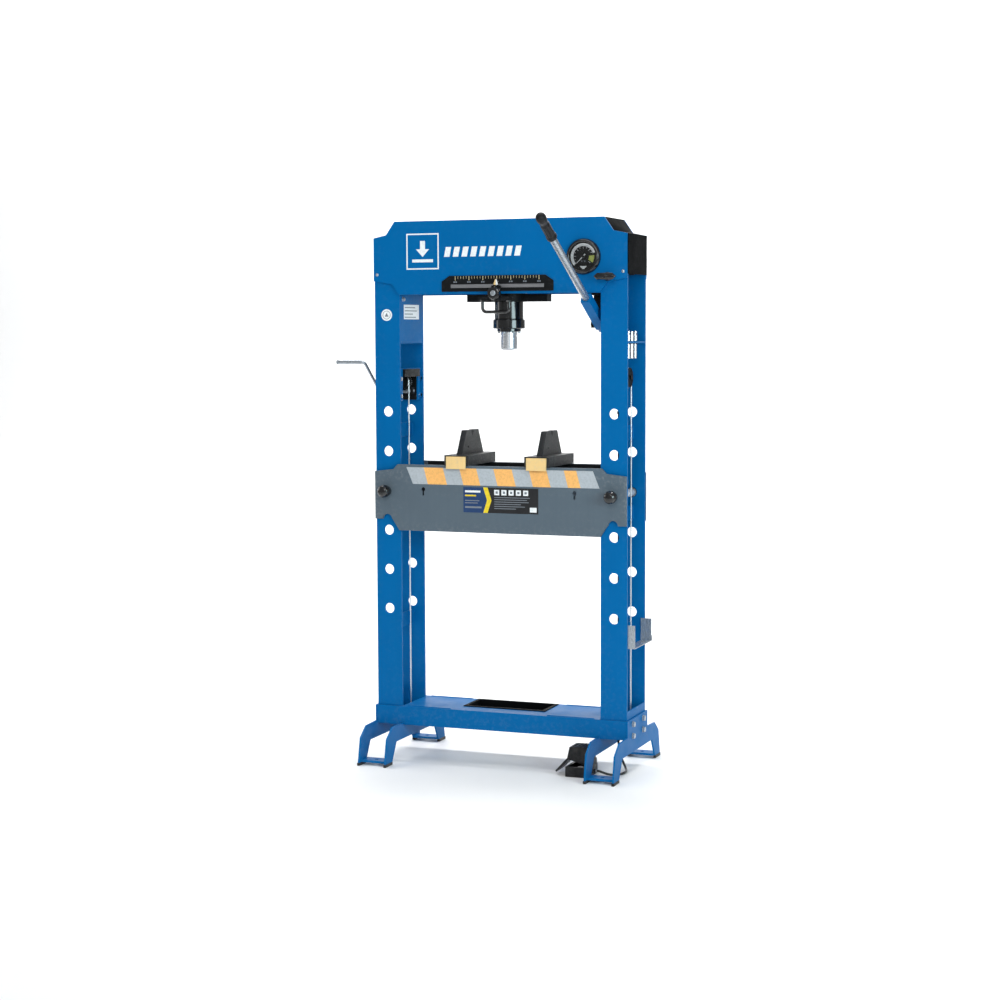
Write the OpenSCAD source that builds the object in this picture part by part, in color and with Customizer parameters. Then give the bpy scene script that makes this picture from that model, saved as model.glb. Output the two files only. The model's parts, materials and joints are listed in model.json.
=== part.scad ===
// Two-column hydraulic shop press with a travelling ram head, a winch-lifted bed
// and a foot valve.  Millimetres, +Z up, front towards -Y, origin on the floor
// midway between the columns.

/* [Frame] */
// Overall height of the frame
frame_h = 1850; // [1750:10:1950]
// Width over the outer faces of the two columns
frame_w = 906; // [890:2:940]
// Width of one column member
col_w = 92; // [88:2:100]
// Depth of a column over its front and rear members
col_d = 205; // [201:1:209]
// Thickness of a column member
col_t = 8; // [6:1:9]
// Thickness of the crossbeam and base side plates
side_t = 8; // [6:1:10]
// Height of the crossbeam at its middle
beam_h = 247; // [240:1:250]

/* [Pin holes] */
// Height of the lowest pin hole
hole_z0 = 525; // [500:5:560]
// Distance between pin holes
hole_pitch = 136; // [120:2:136]
// Number of pin holes in a column
hole_n = 6; // [4:1:6]
// Diameter of a pin hole
hole_d = 35; // [30:1:38]
// Diameter of the bed pins
pin_d = 26; // [22:1:26]

/* [Base] */
// Height of the underside of the base
base_z = 122; // [110:2:130]
// Height of the base side plates
base_h = 64; // [60:2:70]
// Reach of a foot from the middle plane of the column
foot_reach = 262; // [240:2:300]

/* [Bed] */
// Height of the bed's top edge
bed_z = 1025; // [1025:1:1025]
// Depth of the bed plates at the middle
bed_h = 227; // [200:1:240]
// Thickness of a bed plate
bed_t = 10; // [8:1:12]

/* [Ram] */
// Diameter of the ram
ram_d = 56; // [50:1:60]
// Height of the ram's lower end when retracted
ram_z = 1415; // [1400:1:1430]
// Outside diameter of the cylinder
cyl_d = 99; // [96:1:104]

/* [Pump handle] */
// Angle of the handle above the horizontal at rest
handle_deg = 29.1; // [20:0.1:32]
// Length of the handle from its pivot
handle_len = 676; // [600:2:720]

/* [Winch] */
// Height of the winch drum's axis
drum_z = 1304; // [1304:1:1304]
// Diameter of the lifting rope
rope_d = 5; // [4:0.5:5]
// Number of teeth on the winch's worm wheel
wheel_teeth = 24; // [24:1:24]

/* [Hidden] */
$fn = 64;

// outer, middle and inner planes of a column, and its front face
x_out = frame_w / 2;
x_in = x_out - col_w;
x_mid = x_out - col_w / 2;
y_face = col_d / 2;
y_wall = y_face - col_t;
beam_z = frame_h - beam_h;
shelf_z = 1440;

// ram head, which travels along the crossbeam
rail_z = beam_z + 5;
roller_r = 18;
roller_z = rail_z + 10 + roller_r;
head_z = beam_z - 26;
axle_d = 12;
collar_z = 1486;
tube_z = 1519;
bore_d = 80;
piston_z = tube_z + 153;

// pump handle: pivot, and the distance from it to the plunger roller
handle_x = 333;
pivot_y = -20.6;
pivot_z = 1500;
heel = 35;
roller_w = 9;

// winch: worm shaft, drum and the planes of the ropes
crank_y = 53;
worm_r = 8;
wheel_m = 2;
wheel_r = wheel_teeth * wheel_m / 2;
crank_z = drum_z - worm_r - wheel_r;
drum_x = -411;
drum_r = 22;
rope_xl = drum_x + drum_r;
rope_xr = 423;
rope_y = 35;
fall_y = -25;
lift_y = -40;
sheave_r = 30;
sheave_y = rope_y - sheave_r;
sheave_z = 1323;
pulley_r = 12;
pulley_z = 155;

// bed and V-blocks
pin_z = hole_z0 + 3 * hole_pitch;
bed_y = y_face + 2;
v_w = 88;
v_h = 35;
v_left = -145;
v_right = 144;

// foot valve and its hose
pedal_x = 262;
hose_d = 8;
hose_sides = 10;
hose_points = [
  [353, -128, 16], [364, -128, 16], [377, -127, 12.5], [391, -124, 8], [405, -117, 5],
  [419, -106, 4.2], [429, -91, 4.2], [434, -73, 4.2], [434, -54, 4.4], [430, -36, 5.6],
  [423, -20, 9.5], [414, -7, 17.5], [404, 3, 30], [395, 11, 45], [389, 16, 62],
  [386, 18, 80], [385, 18, 98], [385, 18, 106]];

blue = [0.0, 0.37, 0.65];
dark = [0.09, 0.09, 0.1];
steel = [0.75, 0.76, 0.78];
grey = [0.42, 0.46, 0.5];

// ---- shared shapes ----------------------------------------------------------

// outline in X and Z, given a thickness from y0 towards +Y
module xz(y0, t) {
  translate([0, y0 + t, 0])
    rotate([90, 0, 0])
      linear_extrude(t)
        children();
}

// outline in Y and Z, given a thickness from x0 towards +X
module yz(x0, t) {
  translate([x0, 0, 0])
    rotate([90, 0, 90])
      linear_extrude(t)
        children();
}

// block from its lowest to its highest corner
module block(a, b) {
  translate(a)
    cube(b - a);
}

// the same on both sides of the middle
module both_x() {
  children();
  mirror([1, 0, 0])
    children();
}

// the same at the front and at the back
module both_y() {
  children();
  mirror([0, 1, 0])
    children();
}

// rod along X, Y or Z from a start point
module rod_x(p, len, d) {
  translate(p)
    rotate([0, 90, 0])
      cylinder(d = d, h = len);
}

module rod_y(p, len, d) {
  translate(p)
    rotate([-90, 0, 0])
      cylinder(d = d, h = len);
}

module rod_z(p, len, d) {
  translate(p)
    cylinder(d = d, h = len);
}

// mirror an outline's right half, listed from the middle outwards and back
function mirrored(p) =
  concat(p, [for (i = [len(p) - 1:-1:0]) [-p[i][0], p[i][1]]]);

// ---- frame ------------------------------------------------------------------

module column_member(y0) {
  difference() {
    block([x_in, y0, base_z], [x_out, y0 + col_t, frame_h - 62]);
    for (i = [0:hole_n - 1])
      rod_y([x_mid, y0 - 1, hole_z0 + i * hole_pitch], col_t + 2, hole_d);
  }
}

module column_right() {
  color(blue) {
    column_member(-y_face);
    column_member(y_wall);
  }
}

module column_left() {
  color(blue)
    mirror([1, 0, 0]) {
      column_member(-y_face);
      column_member(y_wall);
    }
}

// tie plates across each column, knee plates under the crossbeam and the
// cross bar that carries the rope sheave
module column_webs() {
  color(blue) {
    both_x() {
      for (z = [445, hole_z0 + 2.5 * hole_pitch - 25, hole_z0 + 4.5 * hole_pitch - 25])
        block([x_mid - 3, -y_wall, z], [x_mid + 3, y_wall, z + 50]);
      block([x_in, -y_wall, shelf_z + 3], [x_in + 6, y_wall, beam_z + 37]);
    }
    block([x_mid - 2, -y_wall, 1306], [x_mid + 4, y_wall, 1340]);
  }
}

// a plain stiffener on the left and the mandrel rack on the right
module column_shelves() {
  color(blue) {
    block([-x_out, -y_wall, shelf_z - 3], [-x_in, y_wall, shelf_z + 3]);
    difference() {
      block([x_in, -y_wall, shelf_z - 3], [x_out, y_wall, shelf_z + 3]);
      for (y = [-24, 14, 52])
        rod_z([430, y, shelf_z - 4], 8, 14);
      rod_z([385, 18, shelf_z - 4], 8, 10);
    }
  }
}

beam_half = [
  [375, frame_h], [406, frame_h - 45], [x_out, frame_h - 55],
  [x_out, frame_h - 200], [384, frame_h - 212], [x_in, beam_z]];

module beam_front_plate() {
  color(blue)
    difference() {
      xz(-y_face - side_t, side_t)
        polygon(mirrored(beam_half));
      rod_y([305, -y_face - side_t - 1, 1721], side_t + 2, 98);
      rod_y([388, -y_face - side_t - 1, 1655], side_t + 2, 14);
    }
}

module beam_rear_plate() {
  color(blue)
    xz(y_face, side_t)
      polygon(mirrored(beam_half));
}

module beam_web() {
  color(blue) {
    block([-367, -y_face, frame_h - 14], [367, y_face, frame_h - 6]);
    both_x()
      block([240, -y_face, 1662], [246, y_face, frame_h - 14]);
  }
}

// folded sheet between the plates: over the shoulder and down the end
module end_covers() {
  color(dark)
    both_x()
      xz(-y_face, col_d)
        polygon([[375, frame_h], [406, frame_h - 45], [x_out + 3, frame_h - 56],
          [x_out + 3, 1663], [x_out, 1663], [x_out, frame_h - 59],
          [404, frame_h - 48], [371, frame_h]]);
}

module carriage_rails() {
  color(blue)
    both_y()
      block([-345, -y_face, rail_z], [345, -70, rail_z + 10]);
}

// ---- base and feet ----------------------------------------------------------

module base_frame() {
  color(blue)
    difference() {
      union() {
        both_y()
          block([-x_out, -y_face - side_t, base_z], [x_out, -y_face, base_z + base_h]);
        both_x()
          block([x_out - 6, -y_wall, base_z], [x_out, y_wall, base_z + 93]);
      }
      both_x()
        foot_holes(x_out - 10, 12);
    }
}

module base_top_plate() {
  color(blue)
    difference() {
      block([-x_in, -y_face, base_z + base_h - 8], [x_in, y_face, base_z + base_h]);
      block([-148, -32, base_z], [132, 90, base_z + base_h + 1]);
    }
}

module parts_tray() {
  top = base_z + base_h;
  color(dark)
    difference() {
      union() {
        block([-158, -42, top], [142, 100, top + 3]);
        block([-147, -31, top - 34], [131, 89, top]);
      }
      block([-145, -29, top - 32], [129, 87, top + 4]);
    }
}

// bolt holes that hold a foot to the end of the base
module foot_holes(x0, len) {
  for (y = [-58, 58])
    for (z = [base_z + 7, base_z + 46])
      rod_x([x0, y, z], len, 12);
}

foot_arch = [
  [168, 73], [foot_reach - 58.6, 10], [foot_reach, 10],
  [foot_reach - 17, base_z - 28], [foot_reach - 63, base_z + 6]];

// each foot: an outer plate, an inner plate that also rises into the base, and
// two tie plates with a hole for a floor anchor
module foot_frames() {
  outer = concat(foot_arch, [[112, base_z + 9], [112, base_z + base_h]]);
  inner = concat(foot_arch, [[y_face + side_t + 0.5, base_z + 8],
    [y_face + side_t + 0.5, base_z - 0.5], [y_face, base_z - 0.5],
    [y_face, base_z + base_h - 8]]);
  color([0.0, 0.47, 0.7])
    both_x() {
      difference() {
        yz(x_out, 6)
          polygon(mirrored(outer));
        foot_holes(x_out - 1, 8);
      }
      difference() {
        yz(x_in - 6, 6)
          polygon(mirrored(inner));
        rod_x([x_in - 7, rope_y, pulley_z - pulley_r], 8, 14);
      }
      both_y()
        difference() {
          block([x_in, -245, 10], [x_out, -195, 18]);
          rod_z([x_mid, -220, 9], 10, 14);
        }
    }
}

module foot_pads() {
  color([0.05, 0.05, 0.05])
    both_x()
      both_y()
        for (x = [x_in - 8, x_out - 2])
          block([x, -foot_reach - 2, 0], [x + 10, -foot_reach + 56, 10]);
}

// hexagon bolts from outside, nuts inside
module foot_bolts() {
  color(steel)
    both_x()
      for (y = [-58, 58])
        for (z = [base_z + 7, base_z + 46]) {
          rod_x([x_out - 18, y, z], 30, 11);
          translate([x_out + 6, y, z])
            rotate([0, 90, 0])
              cylinder(d = 20, h = 7, $fn = 6);
          translate([x_out - 14, y, z])
            rotate([0, 90, 0])
              cylinder(d = 20, h = 8, $fn = 6);
        }
}

// ---- bed --------------------------------------------------------------------

bed_half = [
  [368, bed_z], [384, bed_z - 17], [x_out, bed_z - 25], [x_out, bed_z - 189],
  [388, bed_z - 189], [363, bed_z - bed_h]];

module bed_plate(y0) {
  difference() {
    xz(y0, bed_t)
      polygon(mirrored(bed_half));
    both_x() {
      rod_y([x_mid, y0 - 1, pin_z], bed_t + 2, pin_d + 1);
      rod_y([x_mid, y0 - 1, bed_z - 189], bed_t + 2, 34);
      rod_y([273, y0 - 1, 941], bed_t + 2, 15);
      block([269.5, y0 - 1, 920], [276.5, y0 + bed_t + 1, 940]);
    }
  }
}

module bed_plates() {
  color(grey) {
    bed_plate(-bed_y - bed_t);
    bed_plate(bed_y);
  }
}

// end plates with the rope lugs, three spacer tubes and the guide bar
module bed_crossmembers() {
  color(dark) {
    both_x()
      block([343, -bed_y, 812], [353, bed_y, 1000]);
    for (x = [-220, 0, 220])
      difference() {
        rod_y([x, -bed_y, 860], 2 * bed_y, 38);
        rod_y([x, -bed_y - 1, 860], 2 * bed_y + 2, 26);
      }
    block([-343, bed_y - 12, 990], [343, bed_y, bed_z - 1]);
    block([-398, lift_y - 8, 968], [-353, lift_y + 8, 984]);
    block([353, fall_y - 8, 968], [430, fall_y + 8, 984]);
  }
}

module bed_pin(x) {
  color(steel)
    rod_y([x, -118, pin_z], 250, pin_d);
  color(dark)
    translate([x, -118, pin_z])
      rotate([90, 0, 0])
        rotate_extrude()
          polygon([[0, 0], [17, 0], [17, 6], [21, 12], [22, 24], [20, 34], [14, 41], [0, 43]]);
}

module bed_pin_left() bed_pin(-x_mid);
module bed_pin_right() bed_pin(x_mid);

// base bar with an end face over the bed's front, and an upright with a V on top
module vblock(xc) {
  color(dark)
    translate([xc, 0, bed_z]) {
      block([-v_w / 2, -127, 0], [v_w / 2, 127, v_h]);
      difference() {
        yz(-10, 20)
          polygon([[-100, v_h], [100, v_h], [54, 117], [11, 117], [0, 97], [-11, 117], [-54, 117]]);
        rod_x([-11, -40, 60], 22, 8);
      }
    }
  color([0.95, 0.85, 0.6])
    block([xc - 35, -133, bed_z - 11], [xc + 35, -127, bed_z + 31]);
}

module vblock_left() vblock(v_left);
module vblock_right() vblock(v_right);

// ---- crossbeam fittings -----------------------------------------------------

module scale_plate() {
  color(dark)
    difference() {
      xz(-y_face - side_t - 4, 4)
        polygon(mirrored([[172, 1664], [200, 1645], [200, 1611]]));
      block([-168, -y_face - side_t - 5, 1622], [168, -y_face - side_t - 2, 1636]);
    }
}

module gauge_case() {
  color(dark) {
    rod_y([305, -y_face - side_t, 1721], 38, 97);
    rod_y([305, -72.5, 1721], 12.5, 14);
    translate([305, -y_face - side_t, 1721])
      rotate([90, 0, 0])
        rotate_extrude()
          polygon([[0, 0], [59, 0], [59, 9], [55, 15], [47, 15], [47, 5], [0, 5]]);
  }
}

module gauge_glass() {
  color([0.8, 0.9, 0.95, 0.4])
    rod_y([305, -y_face - side_t - 13.5, 1721], 2, 93.8);
}

// pointer on a short spindle, resting at the low end of its dial
module gauge_needle() {
  color([0.9, 0.9, 0.9])
    translate([305, -y_face - side_t - 9, 1721])
      rotate([0, 225, 0]) {
        rod_y([0, -1, 0], 4.9, 9);
        block([-1, -0.5, -10], [1, 0.5, 34]);
      }
}

// valve stem with its long six-sided bar knob
module release_valve() {
  color(dark) {
    rod_y([388, -140, 1655], 36, 13);
    xz(-150, 14)
      translate([388, 1655])
        polygon([[-38, 0], [-26, 11], [26, 11], [38, 0], [26, -11], [-26, -11]]);
  }
}

// ---- pump and its handle ----------------------------------------------------

module pump_block() {
  color(dark)
    difference() {
      union() {
        block([296, -58, beam_z - 7], [x_in, 60, beam_z]);
        block([305, -8, 1530], [x_in, 48, beam_z - 7]);
        for (x = [305, 351])
          yz(x, 8)
            polygon([[-36, 1488], [-8, 1488], [14, 1530], [48, 1530], [48, 1575],
              [-36, 1530]]);
        rod_z([handle_x, 20, beam_z], 59, 10);
      }
      rod_x([304, pivot_y, pivot_z], 58, 12.1);
      rod_z([handle_x, 10, 1529], 52, 16.1);
    }
}

module handle_pivot() {
  color(steel) {
    rod_x([301, pivot_y, pivot_z], 60, 12);
    translate([297, pivot_y, pivot_z])
      rotate([0, 90, 0])
        cylinder(d = 20, h = 8, $fn = 6);
  }
}

module pump_plunger() {
  color(steel)
    rod_z([handle_x, 10, pivot_z - 7.4], 60, 16);
}

// the handle's own frame: pivot at the origin, grip towards -Y
module on_handle() {
  translate([handle_x, pivot_y, pivot_z])
    rotate([-handle_deg, 0, 0])
      children();
}

// channel that takes the tube, pivoted near its heel, with the plunger roller
module handle_socket() {
  color([0.0, 0.55, 0.75])
    on_handle()
      difference() {
        union() {
          yz(-16, 32)
            polygon([[-175, -16], [10, -16], [24, -9], [24, 2], [8, 15], [-175, 16]]);
          rod_x([-14, heel, 0], 28, 2 * roller_w);
          block([-14, 20, -9], [14, heel, 2]);
        }
        rod_x([-17, 0, 0], 34, 12.1);
        rod_y([0, -176, 0], 118, 24.6);
      }
}

module handle_tube() {
  color(steel)
    on_handle()
      difference() {
        rod_y([0, -handle_len + 8, 0], handle_len - 70, 24);
        rod_y([0, -handle_len + 7, 0], handle_len - 80, 20);
      }
}

// ribbed grip with a rounded end
module handle_grip() {
  color(dark)
    on_handle()
      difference() {
        translate([0, -545, 0])
          rotate([90, 0, 0])
            rotate_extrude()
              polygon([[0, 0], [16, 0], [17.5, 6], [15, 14], [15, 96], [17.5, 112], [17, 124],
                [12, 131], [0, handle_len - 545]]);
        rod_y([0, -handle_len + 8, 0], handle_len - 545, 24.6);
      }
}

// oil reservoir and air motor inside the crossbeam
module power_unit() {
  color(dark) {
    block([246, -60, 1662], [350, 85, 1790]);
    block([350, -10, 1690], [374, 30, 1720]);
    rod_z([405, 10, 1662], 116, 70);
    rod_z([405, 10, 1778], 8, 40);
  }
}

// ---- ram head ---------------------------------------------------------------

module cylinder_body() {
  color(dark)
    difference() {
      union() {
        rod_z([0, 0, tube_z], 211, cyl_d);
        rod_z([0, 0, roller_z + 12], 12, 130);
        rod_z([0, 0, tube_z + 211], 10, 40);
      }
      rod_z([0, 0, tube_z - 1], 194, bore_d);
    }
}

// screwed collar with the bolted gland ring under it
module cylinder_collar() {
  color(dark)
    difference() {
      union() {
        rod_z([0, 0, collar_z], tube_z - collar_z, 110);
        rod_z([0, 0, collar_z - 10], 11, 82);
        for (a = [0:60:300])
          rotate([0, 0, a + 20])
            rod_z([34.5, 0, collar_z - 15], 6, 9);
      }
      rod_z([0, 0, collar_z - 11], 60, ram_d + 0.1);
    }
}

// hollow ram with its piston, a groove above the nose and a chamfered end
module ram() {
  color([0.85, 0.86, 0.88])
    rotate_extrude()
      polygon([[0, ram_z], [ram_d / 2 - 3, ram_z], [ram_d / 2, ram_z + 3],
        [ram_d / 2, ram_z + 45], [ram_d / 2 - 1.5, ram_z + 46], [ram_d / 2 - 1.5, ram_z + 49],
        [ram_d / 2, ram_z + 50], [ram_d / 2, piston_z], [bore_d / 2 - 0.05, piston_z],
        [bore_d / 2 - 0.05, piston_z + 30], [18, piston_z + 30], [18, ram_z + 30],
        [0, ram_z + 30]]);
}

spring_z0 = ram_z + 30;
spring_z1 = tube_z + 193;
spring_turns = 16;
spring_steps = 12;

// ring of a swept tube: centre c, two cross directions u and w
function tube_ring(c, u, w, r, sides) =
  [for (k = [0:sides - 1]) c + r * (cos(360 * k / sides) * u + sin(360 * k / sides) * w)];

// faces between n rings and over both ends
function tube_faces(n, sides) = concat(
  [[for (k = [0:sides - 1]) k]],
  [for (i = [0:n - 2]) for (k = [0:sides - 1])
    [i * sides + k, (i + 1) * sides + k, (i + 1) * sides + (k + 1) % sides,
      i * sides + (k + 1) % sides]],
  [[for (k = [sides - 1:-1:0]) (n - 1) * sides + k]]);

// tension spring inside the ram: a helix of round wire
module return_spring() {
  wire_r = 2.5;
  coil_r = 13;
  n = spring_turns * spring_steps;
  rise = (spring_z1 - spring_z0 - 2 * wire_r - 2) / n;
  rings = [for (i = [0:n])
    let (a = 360 * i / spring_steps, out = [cos(a), sin(a), 0])
      tube_ring([coil_r * out[0], coil_r * out[1], spring_z0 + wire_r + 1 + rise * i],
        [0, 0, 1], out, wire_r, 6)];
  color(steel)
    polyhedron([for (r = rings) each r], tube_faces(n + 1, 6));
}

// plate on rollers above the rails, sleeve and cross arms below the crossbeam,
// and a front bracket with the scale pointer
module carriage_frame() {
  color(dark)
    difference() {
      union() {
        block([-110, -66, roller_z - 12], [110, 66, roller_z + 12]);
        rod_z([0, 0, head_z], roller_z - head_z, 122);
        block([-145, -22, head_z], [145, 22, beam_z - 1]);
        block([-16, -128, head_z + 3], [16, -22, beam_z - 3]);
        block([-60, -131, head_z + 3], [60, -119, head_z + 15]);
        block([-16, -124, head_z + 3], [16, -119, 1630]);
        xz(-124, 4)
          polygon([[-9, 1630], [9, 1630], [4, 1652], [-4, 1652]]);
      }
      rod_z([0, 0, head_z - 1], 100, cyl_d + 0.6);
      both_x()
        rod_y([85, -67, roller_z], 134, axle_d + 0.1);
      rod_y([0, -132, 1604], 30, 10.1);
    }
}

// axle with a grooved roller on each rail
module roller_set(x) {
  color(steel) {
    rod_y([x, -92, roller_z], 184, axle_d);
    both_y()
      rod_y([x, -90, roller_z], 18, 2 * roller_r - 0.1);
  }
}

module roller_set_left() roller_set(-85);
module roller_set_right() roller_set(85);

// round rod bent to a U, for moving the head along the beam
module carriage_handle() {
  r = 14;
  drop = head_z + 3;
  color(dark) {
    both_x() {
      rod_z([47, -125, 1542 + r], drop - 1542 - r, 11);
      translate([47 - r, -125, 1542 + r])
        rotate([90, 0, 0])
          rotate([0, 0, -90])
            rotate_extrude(angle = 90)
              translate([r, 0])
                circle(d = 11);
    }
    rod_x([-47 + r, -125, 1542], 94 - 2 * r, 11);
  }
}

module clamp_knob() {
  color(dark) {
    rod_y([0, -131, 1604], 20, 10);
    translate([0, -131, 1604])
      rotate([90, 0, 0])
        rotate_extrude()
          polygon([[0, 0], [12, 0], [14, 5], [22, 7], [22, 18], [19, 21], [0, 21]]);
  }
}

// ---- winch and rope ---------------------------------------------------------

module winch_mount() {
  color([0.0, 0.47, 0.7]) {
    block([-375, -y_wall, 1240], [-369, -60, 1342]);
    block([-375, 70, 1240], [-369, y_wall, 1342]);
    block([-375, -y_wall, 1342], [-369, y_wall, 1352]);
  }
  color(steel)
    for (z = [1257, 1316])
      translate([-369, 83, z])
        rotate([0, 90, 0])
          cylinder(d = 17, h = 7, $fn = 6);
}

// folded housing open towards the rope, with the drum's fixed axle
module winch_housing() {
  color(dark)
    difference() {
      union() {
        block([-445, -60, 1240], [-375, -56, 1342]);
        block([-445, 66, 1240], [-375, 70, 1342]);
        block([-445, -60, 1240], [-441, 70, 1342]);
        block([-445, -60, 1338], [-369, 70, 1342]);
        block([-369, -60, 1322], [-361, 70, 1349]);
        block([-386, 60, 1260], [-378, 66, 1284]);
        block([-386, 42, 1260], [-378, 66, 1284]);
        rod_y([drum_x, -56, drum_z], 122, 12);
      }
      rod_x([-446, crank_y, crank_z], 70, 11.1);
    }
}

// shaft with its worm thread, then the arm and the grip's pin in one bent rod
module winch_crank() {
  lead = wheel_m * PI;
  turns = 6;
  steps = 16;
  n = turns * steps;
  rings = [for (i = [0:n])
    let (a = 360 * i / steps, out = [0, cos(a), sin(a)],
      c = [drum_x + lead * (i / steps - turns / 2 - 0.25), crank_y + 7 * out[1], crank_z + 7 * out[2]])
      [c + [1.9, 0, 0] - 3 * out, c + [0.6, 0, 0] + 2.4 * out,
        c - [0.6, 0, 0] + 2.4 * out, c - [1.9, 0, 0] - 3 * out]];
  arm_y = -122;
  arm_z = 101;
  arm_len = norm([arm_y, arm_z]);
  color(grey) {
    rod_x([-517, crank_y, crank_z], 517 - 377, 11);
    translate([-510, crank_y, crank_z])
      rotate([atan2(arm_z, arm_y), 0, 0]) {
        rod_y([0, -7, 0], arm_len + 14, 14);
        rod_x([-102, arm_len, 0], 102, 11);
        rod_x([-105, arm_len, 0], 4, 16);
      }
    polyhedron([for (r = rings) each r], tube_faces(n + 1, 4));
  }
}

module crank_grip() {
  color(grey)
    translate([-510, crank_y, crank_z])
      rotate([atan2(101, -122), 0, 0])
        difference() {
          rod_x([-100, norm([101, 122]), 0], 88, 15);
          rod_x([-103, norm([101, 122]), 0], 94, 11.1);
        }
}

// worm wheel outline: straight-sided teeth
function wheel_outline(n, root, tip) = [for (i = [0:n - 1]) each [
  [root, -0.32], [tip, -0.13], [tip, 0.13], [root, 0.32]] * [[1, 0], [0, 360 / n]]
  + [for (k = [0:3]) [0, 360 * i / n]]];

// drum with three flanges, its worm wheel, and the turns of rope on it
module winch_drum() {
  polar = wheel_outline(wheel_teeth, wheel_r - 2.6, wheel_r + 1.6);
  color(dark)
    difference() {
      translate([drum_x, 0, drum_z])
        rotate([-90, 0, 0])
          union() {
            translate([0, 0, -55.8])
              cylinder(r = 18.9, h = 98);
            for (y = [-55.8, -34, 13, 39])
              translate([0, 0, y])
                cylinder(r = 29, h = 2);
            translate([0, 0, 42])
              cylinder(r = 14, h = 20);
            translate([0, 0, crank_y - 5])
              linear_extrude(10)
                polygon([for (p = polar) p[0] * [cos(p[1] + 7.5), sin(p[1] + 7.5)]]);
          }
      rod_y([drum_x, -56, drum_z], 122, 12.1);
    }
  color(steel)
    for (y = [-45.5, -51, 29.5, 24, 18.5])
      translate([drum_x, y, drum_z])
        rotate([90, 0, 0])
          rotate_extrude()
            translate([drum_r - 0.4, 0])
              circle(d = rope_d, $fn = 24);
}

// grooved pulley about a rope of radius r, bored for its axle
module pulley(r, rim, w, bore) {
  rotate_extrude()
    polygon([[bore / 2, -w / 2], [rim, -w / 2], [rim, -3.6], [r - 3, -3], [r - 3, 3],
      [rim, 3.6], [rim, w / 2], [bore / 2, w / 2]]);
}

module rope_sheave() {
  color(dark)
    translate([rope_xr, sheave_y, sheave_z])
      rotate([0, 90, 0])
        pulley(sheave_r, 33, 12, 12.1);
}

module base_pulley(x) {
  color(dark)
    translate([x, rope_y, pulley_z])
      rotate([90, 0, 0])
        pulley(pulley_r, 14, 9, 8.1);
}

module base_pulley_left() base_pulley(rope_xl + pulley_r);
module base_pulley_right() base_pulley(rope_xr - pulley_r);

module pulley_brackets() {
  color(dark) {
    yz(x_mid + 4, 3)
      polygon([[-30, 1291], [48, 1291], [48, 1330], [36, 1350], [18, 1360], [-2, 1360],
        [-20, 1350], [-30, 1330]]);
    rod_x([x_mid + 4, sheave_y, sheave_z], 24, 12);
    translate([rope_xr + 7, sheave_y, sheave_z])
      rotate([0, 90, 0])
        cylinder(d = 19, h = 5, $fn = 6);
    for (y = [rope_y - 9, rope_y + 6]) {
      block([-391, y, pulley_z - 7], [-x_in, y + 3, pulley_z + 7]);
      block([400, y, pulley_z - 7], [x_out - 6, y + 3, pulley_z + 7]);
    }
    rod_y([rope_xl + pulley_r, rope_y - 6, pulley_z], 12, 8);
    rod_y([rope_xr - pulley_r, rope_y - 6, pulley_z], 12, 8);
  }
}

// taut rope: off the drum, under the base pulleys, over the sheave to the bed's
// right lug, and a short fall from the drum to the left lug
module lift_rope() {
  arc = pulley_r;
  color(steel) {
    for (y = [rope_y, lift_y])
      translate([drum_x, y, drum_z])
        rotate([90, 0, 0])
          rotate_extrude(angle = 90)
            translate([drum_r, 0])
              circle(d = rope_d, $fn = 24);
    rod_z([rope_xl, lift_y, 984], drum_z - 984, rope_d);
    rod_z([rope_xl, rope_y, pulley_z], drum_z - pulley_z, rope_d);
    translate([rope_xl + arc, rope_y, pulley_z])
      rotate([90, 0, 0])
        rotate([0, 0, 180])
          rotate_extrude(angle = 90)
            translate([arc, 0])
              circle(d = rope_d, $fn = 24);
    rod_x([rope_xl + arc, rope_y, pulley_z - arc], rope_xr - rope_xl - 2 * arc, rope_d);
    translate([rope_xr - arc, rope_y, pulley_z])
      rotate([90, 0, 0])
        rotate([0, 0, 270])
          rotate_extrude(angle = 90)
            translate([arc, 0])
              circle(d = rope_d, $fn = 24);
    rod_z([rope_xr, rope_y, pulley_z], sheave_z - pulley_z, rope_d);
    translate([rope_xr, sheave_y, sheave_z])
      rotate([90, 0, 90])
        rotate_extrude(angle = 180)
          translate([sheave_r, 0])
            circle(d = rope_d, $fn = 24);
    rod_z([rope_xr, fall_y, 984], sheave_z - 984, rope_d);
  }
}

// ---- loose tools and the foot valve -----------------------------------------

module mandrel(y) {
  color(steel) {
    rod_z([430, y, shelf_z - 54], 58, 13.4);
    rod_z([430, y, shelf_z + 3], 24, 16);
    rod_z([430, y, shelf_z + 27], 3, 12);
    rod_z([430, y, shelf_z + 30], 6, 15);
  }
}

module mandrel_front() mandrel(-24);
module mandrel_middle() mandrel(14);
module mandrel_rear() mandrel(52);

// bent strap outside the right column that stores the foot valve
module pedal_hanger() {
  w = y_wall;
  color(steel) {
    yz(440, 38)
      polygon([[3 - w, 505], [-w, 505], [-w, 427], [w, 427], [w, 505], [w - 3, 505],
        [w - 3, 430], [3 - w, 430]]);
    block([x_out + 1, w - 1, 427], [478, w + 9, 430]);
    block([x_out + 1, w + 6, 429], [478, w + 9, 446]);
  }
}

// rigid air line up the right column, from a fitting under the base
module air_line() {
  color(dark) {
    rod_z([385, 18, base_z], 1662 - base_z, 8);
    block([x_in, 4, base_z], [404, 32, base_z + 5]);
    translate([385, 18, 106])
      cylinder(d = 16, h = base_z - 106, $fn = 6);
  }
}

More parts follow.
